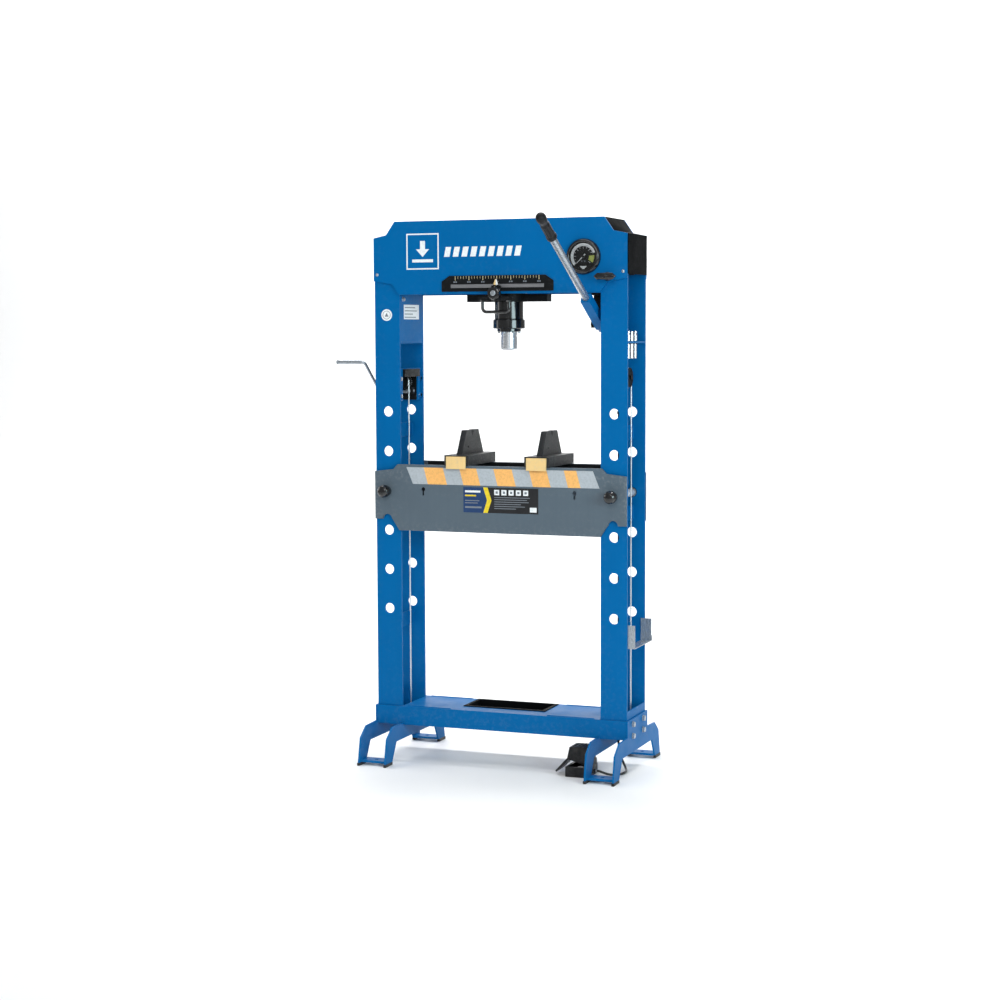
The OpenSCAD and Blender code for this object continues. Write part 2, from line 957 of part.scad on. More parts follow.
module pedal_base() {
  color(dark) {
    difference() {
      block([pedal_x, -178, 0], [342, -76, 34]);
      block([pedal_x + 8, -170, 6], [334, -84, 35]);
    }
    rod_z([300, -127, 6], 20, 22);
    block([326, -172, 34], [342, -165, 52]);
    block([326, -89, 34], [342, -82, 52]);
    rod_y([334, -172, 43], 90, 8);
    rod_x([342, -128, 16], 11, 14);
  }
}

// hooded pedal plate with a toe lip that reaches past the base
module pedal_treadle() {
  color(dark)
    difference() {
      union() {
        xz(-164, 74)
          polygon([[222, 15], [226, 11], [258, 42], [268, 56], [342, 36], [342, 50],
            [332, 100], [272, 98], [264, 60], [252, 48]]);
      }
      rod_y([334, -165, 43], 76, 8.1);
    }
}

// direction of the hose's route at point i
function along(p, i) =
  let (d = p[min(i + 1, len(p) - 1)] - p[max(i - 1, 0)]) d / norm(d);

// round tube swept along a list of points
module sweep(p, d, sides) {
  rings = [for (i = [0:len(p) - 1])
    let (t = along(p, i), s = cross(t, [0.3, 0.2, 1]), u = s / norm(s), w = cross(t, u))
      tube_ring(p[i], u, w, d / 2, sides)];
  polyhedron([for (r = rings) each r], tube_faces(len(p), sides));
}

module pedal_hose() {
  color([0.06, 0.06, 0.07])
    sweep(hose_points, hose_d, hose_sides);
}

column_left();
column_right();
column_webs();
column_shelves();
beam_front_plate();
beam_rear_plate();
beam_web();
end_covers();
carriage_rails();
base_frame();
base_top_plate();
parts_tray();
foot_frames();
foot_pads();
foot_bolts();
bed_plates();
bed_crossmembers();
scale_plate();
gauge_case();
gauge_glass();
gauge_needle();
release_valve();
pump_block();
handle_pivot();
pump_plunger();
handle_socket();
handle_tube();
handle_grip();
power_unit();
cylinder_body();
cylinder_collar();
ram();
return_spring();
carriage_frame();
carriage_handle();
clamp_knob();
roller_set_left();
roller_set_right();
winch_mount();
winch_housing();
winch_crank();
crank_grip();
winch_drum();
rope_sheave();
base_pulley_left();
base_pulley_right();
pulley_brackets();
lift_rope();
bed_pin_left();
bed_pin_right();
vblock_left();
vblock_right();
mandrel_front();
mandrel_middle();
mandrel_rear();
pedal_hanger();
air_line();
pedal_base();
pedal_treadle();
pedal_hose();
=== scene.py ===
"""Surfaces and finishes of a two-column hydraulic shop press, around its CAD frame.

Sizes are in millimetres until a mesh is made; the camera and lights are in metres.
+X is the press's right, -Y its front and +Z up.
"""

import json

import bmesh
import bpy
import numpy as np
from bpy.props import (
    FloatProperty,
    FloatVectorProperty,
    IntProperty,
    PointerProperty,
)
from mathutils import Matrix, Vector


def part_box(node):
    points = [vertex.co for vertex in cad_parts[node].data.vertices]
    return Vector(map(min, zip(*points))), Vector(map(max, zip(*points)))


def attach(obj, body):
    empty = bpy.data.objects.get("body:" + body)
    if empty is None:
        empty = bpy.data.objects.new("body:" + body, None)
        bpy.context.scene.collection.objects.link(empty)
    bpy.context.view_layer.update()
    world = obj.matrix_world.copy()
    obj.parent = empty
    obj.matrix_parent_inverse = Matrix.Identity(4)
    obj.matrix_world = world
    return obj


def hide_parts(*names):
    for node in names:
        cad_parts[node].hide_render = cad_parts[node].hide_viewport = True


bl_info = {
    "name": "Hydraulic shop press",
    "version": (1, 0, 0),
    "blender": (4, 5, 0),
    "location": "3D View > Sidebar > Press",
    "description": "Builds the surfaces and finishes of a hydraulic shop press",
    "category": "Add Mesh",
}

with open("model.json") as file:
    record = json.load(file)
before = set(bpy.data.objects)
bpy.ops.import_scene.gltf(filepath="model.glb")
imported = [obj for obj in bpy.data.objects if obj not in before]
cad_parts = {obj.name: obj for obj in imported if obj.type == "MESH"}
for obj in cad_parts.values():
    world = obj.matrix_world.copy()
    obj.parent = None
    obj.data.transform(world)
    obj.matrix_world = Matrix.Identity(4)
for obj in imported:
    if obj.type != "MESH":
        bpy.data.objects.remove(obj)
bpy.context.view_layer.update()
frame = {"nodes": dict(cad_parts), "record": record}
RECORD = frame["record"]
BODY_OF = {
    node: body
    for body, nodes in RECORD["behaviour"]["bodies"].items()
    for node in nodes
}
SLOT_OF = {part["node"]: part["material_slot"] for part in RECORD["subparts"]}

MM = 0.001
TAU = 2 * np.pi
ORIGIN = (0, 0, 0)
X, Y, Z = np.eye(3)
SIDES = (-1, 1)
SHARP_ANGLE = np.radians(38)  # edges sharper than this are creased and rounded
FILM = 0.25  # thickness of a printed or stuck-on film
LAYER = 0.15  # thickness of each layer printed on a film


def span(node):
    """Lowest and highest corner of a CAD node at rest."""
    low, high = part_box(node)
    return np.array(low) / MM, np.array(high) / MM


def middle(node):
    low, high = span(node)
    return (low + high) / 2


def front_of(node):
    return span(node)[0][1]


def srgb(red, green, blue):
    """Linear colour of an 8-bit screen colour."""
    value = np.array([red, green, blue]) / 255
    line = np.where(value <= 0.04045, value / 12.92, ((value + 0.055) / 1.055) ** 2.4)
    return tuple(float(v) for v in line)


# ---- settings ----------------------------------------------------------------


def shade(name, description, *rgb):
    """Colour setting, with an 8-bit screen colour as its default."""
    return FloatVectorProperty(
        name=name, description=description, subtype="COLOR", size=3, min=0, max=1,
        default=srgb(*rgb),
    )


def length(name, description, millimetres):
    return FloatProperty(
        name=name, description=description, unit="LENGTH", default=millimetres * MM
    )


def number(name, description, default, unit="NONE"):
    return FloatProperty(name=name, description=description, unit=unit, default=default)


class PressPaint(bpy.types.PropertyGroup):
    """Colours of the press's finishes."""

    frame: shade("Frame", "Gloss blue of the frame", 0, 99, 161)
    black: shade("Black", "Satin black of the fittings", 19, 21, 23)
    gloss: shade("Gloss black", "Enamel of the cylinder and knobs", 13, 14, 16)
    bed: shade("Bed", "Grey of the bed plates", 92, 104, 114)
    face: shade("V-block face", "Cream of the V-blocks' ends", 240, 203, 140)
    tape: shade("Tape", "Grey ground of the warning tape", 178, 184, 190)
    stripe: shade("Stripe", "Orange of the warning tape", 250, 186, 108)
    white: shade("White", "Printed marks", 240, 242, 244)
    zinc: shade("Zinc", "Plated steel", 168, 174, 180)


class PressEdges(bpy.types.PropertyGroup):
    """Rounding and welds of the press's plates."""

    plate: length("Plate edge", "Rounding of sawn and cut plate edges", 1.0)
    casting: length("Casting edge", "Rounding of cast edges", 1.8)
    bead: length("Weld bead", "Radius of a weld bead", 3.2)


class PressRope(bpy.types.PropertyGroup):
    """Lay of the lifting rope."""

    diameter: length("Diameter", "Diameter over the strands", 5)
    lay: length("Lay", "Length of one turn of a strand", 32)
    strands: IntProperty(
        name="Strands", description="Number of outer strands", default=6, min=3, max=9
    )


class PressStage(bpy.types.PropertyGroup):
    """Camera and light of the studio."""

    camera: FloatVectorProperty(
        name="Camera",
        description="Place of the camera",
        subtype="TRANSLATION",
        size=3,
        default=(2.441, -6.390, 1.4735),
    )
    yaw: number("Yaw", "Turn to the left", 0.36975, "ROTATION")
    pitch: number("Pitch", "Tilt down", 0.08323, "ROTATION")
    roll: number("Roll", "Roll of the camera", -0.0036, "ROTATION")
    lens: number("Lens", "Focal length in millimetres", 72.27)
    floor: number("Floor tone", "Brightness of the floor", 0.9)
    ambient: number("Ambient", "Strength of the light all round", 0.32)


SETTINGS = {
    "press_paint": PressPaint,
    "press_edges": PressEdges,
    "press_rope": PressRope,
    "press_stage": PressStage,
}


# ---- shapes ------------------------------------------------------------------


def across(axis):
    """An axis as a unit direction, and two more square to it and to each other."""
    axis = np.asarray(axis, float) / np.linalg.norm(axis)
    side = np.cross(Y if abs(axis[1]) < 0.9 else Z, axis)
    side /= np.linalg.norm(side)
    return axis, side, np.cross(axis, side)


def circle(sides):
    """Points of a unit circle: the cosine and sine of equal steps of a turn."""
    angle = np.arange(sides) * TAU / sides
    return np.stack([np.cos(angle), np.sin(angle)], -1)


def disc(radius, sides):
    """Points of a circle; a radius for every ring gives a ring of points each."""
    return np.asarray(radius, float)[..., None, None] * circle(sides)


def supported(profile, reach=0.8):
    """Adds a point close to each end of every long straight of a profile, so that
    its shading stays flat between them."""
    profile = np.asarray(profile, float)
    run = np.diff(profile, axis=0)
    size = np.linalg.norm(run, axis=1, keepdims=True)
    step = run * reach / np.maximum(size, reach)
    rows = np.stack([profile[:-1], profile[:-1] + step, profile[1:] - step], 1)
    long = size[:, 0] > 4 * reach
    keep = np.stack([np.ones_like(long), long, long], 1)
    return np.vstack([rows[keep], profile[-1:]])


def turned(profile, at=ORIGIN, axis=Z, sides=64, support=True):
    """Profile of (radius, height) points turned about an axis through a point:
    point = at + height * axis + radius * (cos angle * side + sin angle * other)."""
    axis, side, other = across(axis)
    radius, height = (supported(profile) if support else np.asarray(profile, float)).T
    ring = circle(sides) @ np.array([side, other])
    return np.asarray(at, float) + radius[:, None, None] * ring + (
        height[:, None, None] * axis
    )


def carried(path, section, up):
    """Section of (across, over) points carried along a path: each ring is set out
    square to the path's direction, with its first direction square to `up`."""
    path = np.asarray(path, float)
    along = np.gradient(path, axis=0)
    along /= np.linalg.norm(along, axis=1, keepdims=True)
    side = np.cross(np.broadcast_to(np.asarray(up, float), path.shape), along)
    side /= np.linalg.norm(side, axis=1, keepdims=True)
    over = np.cross(along, side)
    return (
        path[:, None]
        + section[..., :1] * side[:, None]
        + section[..., 1:] * over[:, None]
    )


def smooth(points, steps):
    """Catmull-Rom curve through points: each span blends four neighbours with
    cubic weights, so its direction runs on through every point."""
    p = np.asarray(points, float)
    p = np.vstack([2 * p[0] - p[1], p, 2 * p[-1] - p[-2]])
    t = np.linspace(0, 1, steps, endpoint=False)[None, :, None]
    a, b, c, d = (p[i : len(p) - 3 + i, None] for i in range(4))
    curve = 0.5 * (
        2 * b
        + (c - a) * t
        + (2 * a - 5 * b + 4 * c - d) * t**2
        + (3 * b - a - 3 * c + d) * t**3
    )
    return np.vstack([curve.reshape(-1, 3), p[-2]])


def bent(corners, radius, steps):
    """Straight runs joined by arcs of one radius: each corner is replaced by the
    arc that touches both runs."""
    c = np.asarray(corners, float)
    runs = [c[:1]]
    for before, corner, after in zip(c[:-2], c[1:-1], c[2:]):
        a = (before - corner) / np.linalg.norm(before - corner)
        b = (after - corner) / np.linalg.norm(after - corner)
        half = np.arccos(np.clip(a @ b, -1, 1)) / 2
        inward = (a + b) / np.linalg.norm(a + b)
        centre = corner + inward * radius / np.sin(half)
        turn = np.linspace(-1, 1, steps)[:, None] * (np.pi / 2 - half)
        chord = (b - a) / np.linalg.norm(b - a)
        runs.append(centre + radius * (np.sin(turn) * chord - np.cos(turn) * inward))
    return np.vstack(runs + [c[-1:]])


def prism(outline, low, high, axis=Y):
    """Outline between two planes square to a row axis. The outline's two numbers
    are the other two row axes, in their order."""
    grid = np.zeros((2, len(outline), 3))
    grid[:, :, np.flatnonzero(axis == 0)] = outline
    grid[0] += low * axis
    grid[1] += high * axis
    return grid


def rectangle(x0, z0, x1, z1):
    return [(x0, z0), (x1, z0), (x1, z1), (x0, z1)]


def hexagon_head(at, axis, flats, height, sides=48):
    """Six-sided head: the radius is flats / 2 over the cosine of the angle from the
    nearest flat, cut by a cone at the top for the chamfer."""
    axis, side, other = across(axis)
    angle = np.arange(sides) * TAU / sides
    flat = flats / 2 / np.cos((angle + np.pi / 6) % (np.pi / 3) - np.pi / 6)
    top = 0.47 * flats
    radius = np.stack([flat, flat, np.full(sides, top)])
    level = np.stack([0 * flat, height - 0.55 * (flat - top), 0 * flat + height])
    ring = circle(sides) @ np.array([side, other])
    return np.asarray(at, float) + radius[..., None] * ring + level[..., None] * axis


class Shape:
    """Surfaces gathered into one mesh, each with the number of its finish."""

    def __init__(self):
        self.points, self.faces, self.finish, self.count = [], [], [], 0

    def skin(self, grid, finish=0, loop=False):
        """Four-sided faces over a grid of rings; open ends are closed, and `loop`
        joins the last ring to the first."""
        rows, sides = grid.shape[:2]
        i = np.arange(rows if loop else rows - 1)[:, None]
        j = np.arange(sides)[None]
        ahead, beside = (i + 1) % rows * sides, (j + 1) % sides
        i = i * sides
        quads = np.broadcast_arrays(i + j, i + beside, ahead + beside, ahead + j)
        faces = (np.stack(quads, -1).reshape(-1, 4) + self.count).tolist()
        if not loop:
            ring = np.arange(sides) + self.count
            faces += [ring[::-1].tolist(), (ring + (rows - 1) * sides).tolist()]
        self.points.append(grid.reshape(-1, 3))
        self.faces += faces
        self.finish += [finish] * len(faces)
        self.count += rows * sides
        return self

    def turn(self, profile, at=ORIGIN, axis=Z, sides=64, finish=0, loop=False):
        return self.skin(turned(profile, at, axis, sides), finish, loop)

    def plate(self, outline, low, high, axis=Y, finish=0):
        return self.skin(prism(outline, low, high, axis), finish)

    def film(self, outline, face, finish=0, layer=0):
        """Film on a front face, or one of the layers that are printed on a film."""
        front = face - FILM - LAYER * layer
        return self.plate(outline, front, front + (LAYER if layer else FILM), Y, finish)

    def bolt(self, at, axis, flats, height):
        """Hexagon head on a washer."""
        thick, rim = 1.7, 0.54 * flats
        self.turn(
            [(rim, 0), (1.1 * rim, 0.3), (1.1 * rim, 1.4), (1.06 * rim, thick)],
            at, axis, 32,
        )
        at = np.asarray(at, float) + thick * np.asarray(axis, float)
        return self.skin(hexagon_head(at, axis, flats, height - thick))

    def mesh(self, name):
        mesh = bpy.data.meshes.new(name)
        mesh.from_pydata((np.vstack(self.points) * MM).tolist(), [], self.faces)
        return mesh

    def build(self, name, body, slot, *keys, stands_for=(), bevel=0.0):
        """Makes the mesh, closed and facing out, and rides it on a body."""
        mesh = self.mesh(name)
        for key in keys:
            mesh.materials.append(finish(key))
        mesh.polygons.foreach_set("material_index", np.array(self.finish, np.int32))
        form = bmesh.new()
        form.from_mesh(mesh)
        bmesh.ops.recalc_face_normals(form, faces=form.faces)
        form.to_mesh(mesh)
        form.free()
        return placed(mesh, name, body, stands_for, bevel * MM)

    def replace(self, node, *keys, name=None, bevel=0.0):
        """Makes the piece that takes a CAD node's place, on its body and slot."""
        return self.build(
            name or node + "_skin", BODY_OF[node], SLOT_OF[node], *keys,
            stands_for=(node,), bevel=bevel,
        )


def placed(mesh, name, body, stands_for, bevel):
    """Shades a mesh smooth but for its sharp edges, rounds them, and rides it."""
    mesh.polygons.foreach_set("use_smooth", np.ones(len(mesh.polygons), bool))
    mesh.set_sharp_from_angle(angle=SHARP_ANGLE)
    piece = bpy.data.objects.new(name, mesh)
    bpy.context.collection.objects.link(piece)
    if bevel:
        rounding = piece.modifiers.new("rounding", "BEVEL")
        rounding.width = bevel
        rounding.segments = 2
        rounding.limit_method = "ANGLE"
        rounding.angle_limit = SHARP_ANGLE
        rounding.harden_normals = True
        rounding.use_clamp_overlap = True
    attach(piece, body)
    if stands_for:
        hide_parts(*stands_for)
    return piece


def dress(node, *keys, bevel=None, pick=None):
    """A merged copy of a CAD node with rounded edges. `pick` gives the number of
    the finish from a face's middle."""
    width = bpy.context.scene.press_edges.plate if bevel is None else bevel * MM
    mesh = frame["nodes"][node].data.copy()
    mesh.materials.clear()
    for key in keys:
        mesh.materials.append(finish(key))
    form = bmesh.new()
    form.from_mesh(mesh)
    bmesh.ops.remove_doubles(form, verts=form.verts, dist=0.01 * MM)
    bmesh.ops.dissolve_limit(
        form, angle_limit=np.radians(0.6), verts=form.verts, edges=form.edges
    )
    for face in form.faces:
        face.material_index = (
            pick(np.array(face.calc_center_median()) / MM) if pick else 0
        )
    form.to_mesh(mesh)
    form.free()
    return placed(mesh, node + "_skin", BODY_OF[node], (node,), width)


# ---- finishes ----------------------------------------------------------------


def feed(node, sockets):
    """Sets a node's sockets; one that is given another socket is linked to it."""
    for key, value in sockets.items():
        if isinstance(value, bpy.types.NodeSocket):
            node.id_data.links.new(value, node.inputs[key])
        else:
            node.inputs[key].default_value = value
    return node


def put(tree, kind, sockets, **settings):
    """Adds a node, sets its properties and feeds its sockets."""
    node = tree.nodes.new(kind)
    for key, value in settings.items():
        setattr(node, key, value)
    return feed(node, sockets)


def ramp(tree, value, low, high, to_low=0.0, to_high=1.0):
    """Value eased from one range to another."""
    ranges = {"From Min": low, "From Max": high, "To Min": to_low, "To Max": to_high}
    return put(tree, "ShaderNodeMapRange", {"Value": value, **ranges},
               interpolation_type="SMOOTHSTEP").outputs[0]


def maths(tree, operation, a, b):
    return put(tree, "ShaderNodeMath", {0: a, 1: b}, operation=operation).outputs[0]


def times(tree, a, b):
    return maths(tree, "MULTIPLY", a, b)


def plus(tree, a, b):
    return maths(tree, "ADD", a, b)


def blend(tree, factor, a, b, mode="MIX"):
    return put(tree, "ShaderNodeMix", {0: factor, 6: a, 7: b}, data_type="RGBA",
               blend_type=mode).outputs[2]


def here(tree):
    return put(tree, "ShaderNodeTexCoord", {}).outputs["Object"]


def noise(tree, vector, scale, detail=3.0, rough=0.55):
    sockets = {"Vector": vector, "Scale": scale, "Detail": detail, "Roughness": rough}
    return put(tree, "ShaderNodeTexNoise", sockets).outputs["Fac"]


def pebbles(tree, vector, scale):
    sockets = {"Vector": vector, "Scale": scale}
    return put(tree, "ShaderNodeTexVoronoi", sockets).outputs["Distance"]


def geometry(tree, name):
    return put(tree, "ShaderNodeNewGeometry", {}).outputs[name]


def upward(tree, vector):
    return put(tree, "ShaderNodeSeparateXYZ", {0: vector}).outputs["Z"]


def bump(tree, height, distance):
    sockets = {"Height": height, "Distance": distance, "Strength": 1.0}
    return put(tree, "ShaderNodeBump", sockets).outputs["Normal"]


def coat_texture(tree, given, at):
    """Height of sprayed paint: fine peel over slow waves of the plate beneath."""
    peel = noise(tree, at, given["Peel scale"], 2.0, 0.45)
    wave = times(tree, noise(tree, at, 16.0, 2.0), given["Waves"])
    return {"Height": plus(tree, peel, wave), "Gloss": noise(tree, at, 9.0, 5.0, 0.6)}


def tone_drift(tree, given, at):
    """Colour that drifts a little over a large surface, with faint upright streaks."""
    cloud = noise(tree, at, 3.0, 4.0)
    upright = put(tree, "ShaderNodeMapping", {"Vector": at, "Scale": (60.0, 60.0, 2.0)})
    streak = noise(tree, upright.outputs[0], 1.0, 3.0)
    drift = ramp(tree, plus(tree, cloud, times(tree, streak, 0.4)), 0.45, 0.95)
    deep = blend(tree, 1.0, given["Color"], (0.55, 0.55, 0.6, 1), "MULTIPLY")
    factor = times(tree, drift, given["Amount"])
    return {"Color": blend(tree, factor, given["Color"], deep)}


def edge_wear(tree, given, at):
    """Rubbed edges and small chips: convex edges broken up by noise."""
    edge = ramp(tree, geometry(tree, "Pointiness"), 0.53, 0.62)
    broken = ramp(tree, noise(tree, at, 70.0, 6.0, 0.7), 0.48, 0.62)
    chips = ramp(tree, noise(tree, at, 31.0, 8.0, 0.8), 0.72, 0.75)
    rubbed = times(tree, edge, broken)
    both = maths(tree, "MAXIMUM", rubbed, times(tree, chips, 0.35))
    mask = times(tree, both, given["Amount"])
    return {"Color": blend(tree, mask, given["Color"], given["Bare"]), "Mask": mask}


def settled_dust(tree, given, at):
    """Dust that thickens towards the floor and on faces that look up."""
    low = ramp(tree, upward(tree, at), 0.35, 0.0)
    up = ramp(tree, upward(tree, geometry(tree, "Normal")), 0.6, 1.0, 0.0, 0.5)
    patch = ramp(tree, noise(tree, at, 24.0, 7.0, 0.7), 0.35, 0.7)
    cover = times(tree, maths(tree, "MAXIMUM", low, up), patch)
    mask = times(tree, cover, given["Amount"])
    dusty = blend(tree, mask, given["Color"], (0.42, 0.4, 0.37, 1))
    return {"Color": dusty, "Mask": mask}


def drawn_grain(tree, given, at):
    """Fine lines left by drawing, turning or grinding, stretched along one axis."""
    scaled = put(tree, "ShaderNodeVectorMath", {0: at, 1: given["Stretch"]},
                 operation="MULTIPLY").outputs[0]
    return {"Line": noise(tree, scaled, given["Scale"], 4.0, 0.6),
            "Stain": noise(tree, at, 38.0, 6.0, 0.65)}


PLAIN = (1, 1, 1, 1)
GROUP_SOCKETS = {
    coat_texture: ({"Peel scale": 420.0, "Waves": 0.5}, ("Height", "Gloss")),
    tone_drift: ({"Color": PLAIN, "Amount": 0.1}, ("Color",)),
    edge_wear: ({"Color": PLAIN, "Bare": (0.4, 0.4, 0.4, 1), "Amount": 0.5},
                ("Color", "Mask")),
    settled_dust: ({"Color": PLAIN, "Amount": 0.2}, ("Color", "Mask")),
    drawn_grain: ({"Stretch": (1, 1, 1), "Scale": 900.0}, ("Line", "Stain")),
}
SOCKET_KINDS = {
    "Color": "NodeSocketColor", "Bare": "NodeSocketColor", "Stretch": "NodeSocketVector"
}
made_groups = {}
made_finishes = {}


def new_group(maker):
    """Shader group with named sockets, filled by the function that it is named by."""
    tree = bpy.data.node_groups.new(maker.__name__, "ShaderNodeTree")

    def socket(label, way):
        kind = SOCKET_KINDS.get(label, "NodeSocketFloat")
        return tree.interface.new_socket(label, in_out=way, socket_type=kind)

    inputs, outputs = GROUP_SOCKETS[maker]
    for label, value in inputs.items():
        socket(label, "INPUT").default_value = value
    for label in outputs:
        socket(label, "OUTPUT")
    given = put(tree, "NodeGroupInput", {}).outputs
    put(tree, "NodeGroupOutput", maker(tree, given, here(tree)))
    return tree


def use(tree, maker, sockets):
    """Places a shared group, which is made the first time it is asked for."""
    if maker not in made_groups:
        made_groups[maker] = new_group(maker)
    node = put(tree, "ShaderNodeGroup", {}, node_tree=made_groups[maker])
    return feed(node, sockets).outputs


def full(colour):
    return (*colour[:3], 1.0)


def new_material(name, maker, colour, **look):
    """Material whose shader is fed with what its maker works out."""
    material = bpy.data.materials.new(name)
    material.use_nodes = True
    tree = material.node_tree
    feed(tree.nodes["Principled BSDF"], maker(tree, full(colour), **look))
    return material


def painted(tree, colour, gloss=(0.34, 0.46), peel=0.00006, wear=0.1, dust=0.012,
            bare=(0.2, 0.24, 0.29), coat=0.02, shine=0.05):
    """Sprayed or powder-coated steel: peel, drifting tone, rubbed edges and dust."""
    tone = use(tree, tone_drift, {"Color": colour, "Amount": 0.16})["Color"]
    worn = use(tree, edge_wear, {"Color": tone, "Bare": full(bare), "Amount": wear})
    dusty = use(tree, settled_dust, {"Color": worn["Color"], "Amount": dust})
    coating = use(tree, coat_texture, {"Peel scale": 420.0, "Waves": 0.8})
    rough = ramp(tree, coating["Gloss"], 0.3, 0.7, *gloss)
    return {
        "Base Color": dusty["Color"],
        "Roughness": plus(tree, rough, times(tree, dusty["Mask"], 0.5)),
        "Normal": bump(tree, coating["Height"], peel),
        "Coat Weight": coat,
        "Coat Roughness": 0.12,
        "Specular IOR Level": shine,
    }


def plated(tree, colour, gloss=(0.2, 0.36), stretch=(1, 1, 0.06), depth=0.00003,
           scale=900.0, metallic=1.0):
    """Bare or plated steel: drawn lines, stains and a little dulling."""
    grain = use(tree, drawn_grain, {"Stretch": stretch, "Scale": scale})
    stain = ramp(tree, grain["Stain"], 0.35, 0.75)
    dull = blend(tree, 1.0, colour, (0.9, 0.9, 0.92, 1), "MULTIPLY")
    mottle = plus(tree, grain["Line"], times(tree, grain["Stain"], 0.25))
    return {
        "Base Color": blend(tree, stain, colour, dull),
        "Roughness": ramp(tree, mottle, 0.4, 0.85, *gloss),
        "Normal": bump(tree, grain["Line"], depth),
        "Metallic": metallic,
    }


def moulded(tree, colour, gloss=(0.42, 0.6), grain=1300.0, depth=0.00008):
    """Rubber or grained plastic: pebbled skin with scuffs and settled dust."""
    at = here(tree)
    scuff = ramp(tree, noise(tree, at, 46.0, 8.0, 0.75), 0.55, 0.75)
    pale = full([min(1.0, v * 1.8 + 0.01) for v in colour])
    tone = blend(tree, times(tree, scuff, 0.35), colour, pale)
    dusty = use(tree, settled_dust, {"Color": tone, "Amount": 0.08})
    return {
        "Base Color": dusty["Color"],
        "Roughness": ramp(tree, scuff, 0.0, 1.0, *gloss),
        "Normal": bump(tree, pebbles(tree, at, grain), depth),
        "Specular IOR Level": 0.2,
    }


def printed(tree, colour):
    """Screen print or vinyl: faint mottling and small rubs."""
    at = here(tree)
    mottle = noise(tree, at, 160.0, 4.0)
    deep = full([v * 0.82 for v in colour])
    return {
        "Base Color": blend(tree, ramp(tree, mottle, 0.35, 0.8), colour, deep),
        "Roughness": ramp(tree, noise(tree, at, 22.0, 5.0), 0.3, 0.7, 0.28, 0.42),
        "Normal": bump(tree, mottle, 0.00002),
    }


def window(tree, colour):
    """Thin clear window: nearly all light passes straight through."""
    rough = ramp(tree, noise(tree, here(tree), 60.0, 4.0), 0.4, 0.8, 0.02, 0.07)
    return {"Base Color": colour, "Roughness": rough, "Alpha": 0.1,
            "Specular IOR Level": 0.5}


def casting(tree, colour):
    """Painted casting: coarse sand texture under satin paint."""
    at = here(tree)
    sand = noise(tree, at, 330.0, 6.0, 0.7)
    bare = (0.2, 0.2, 0.21, 1)
    worn = use(tree, edge_wear, {"Color": colour, "Bare": bare, "Amount": 0.6})
    dusty = use(tree, settled_dust, {"Color": worn["Color"], "Amount": 0.3})
    rise = plus(tree, sand, times(tree, pebbles(tree, at, 120.0), 0.5))
    return {
        "Base Color": dusty["Color"],
        "Roughness": ramp(tree, sand, 0.3, 0.7, 0.38, 0.6),
        "Normal": bump(tree, rise, 0.0003),
    }


def paper(tree, colour):
    """Pale studio floor, with a slow drift of tone."""
    deep = tuple(v * k for v, k in zip(colour, (0.985, 0.985, 0.99, 1)))
    drift = ramp(tree, noise(tree, here(tree), 1.5, 3.0), 0.3, 0.7)
    return {"Base Color": blend(tree, drift, colour, deep), "Roughness": 0.6}


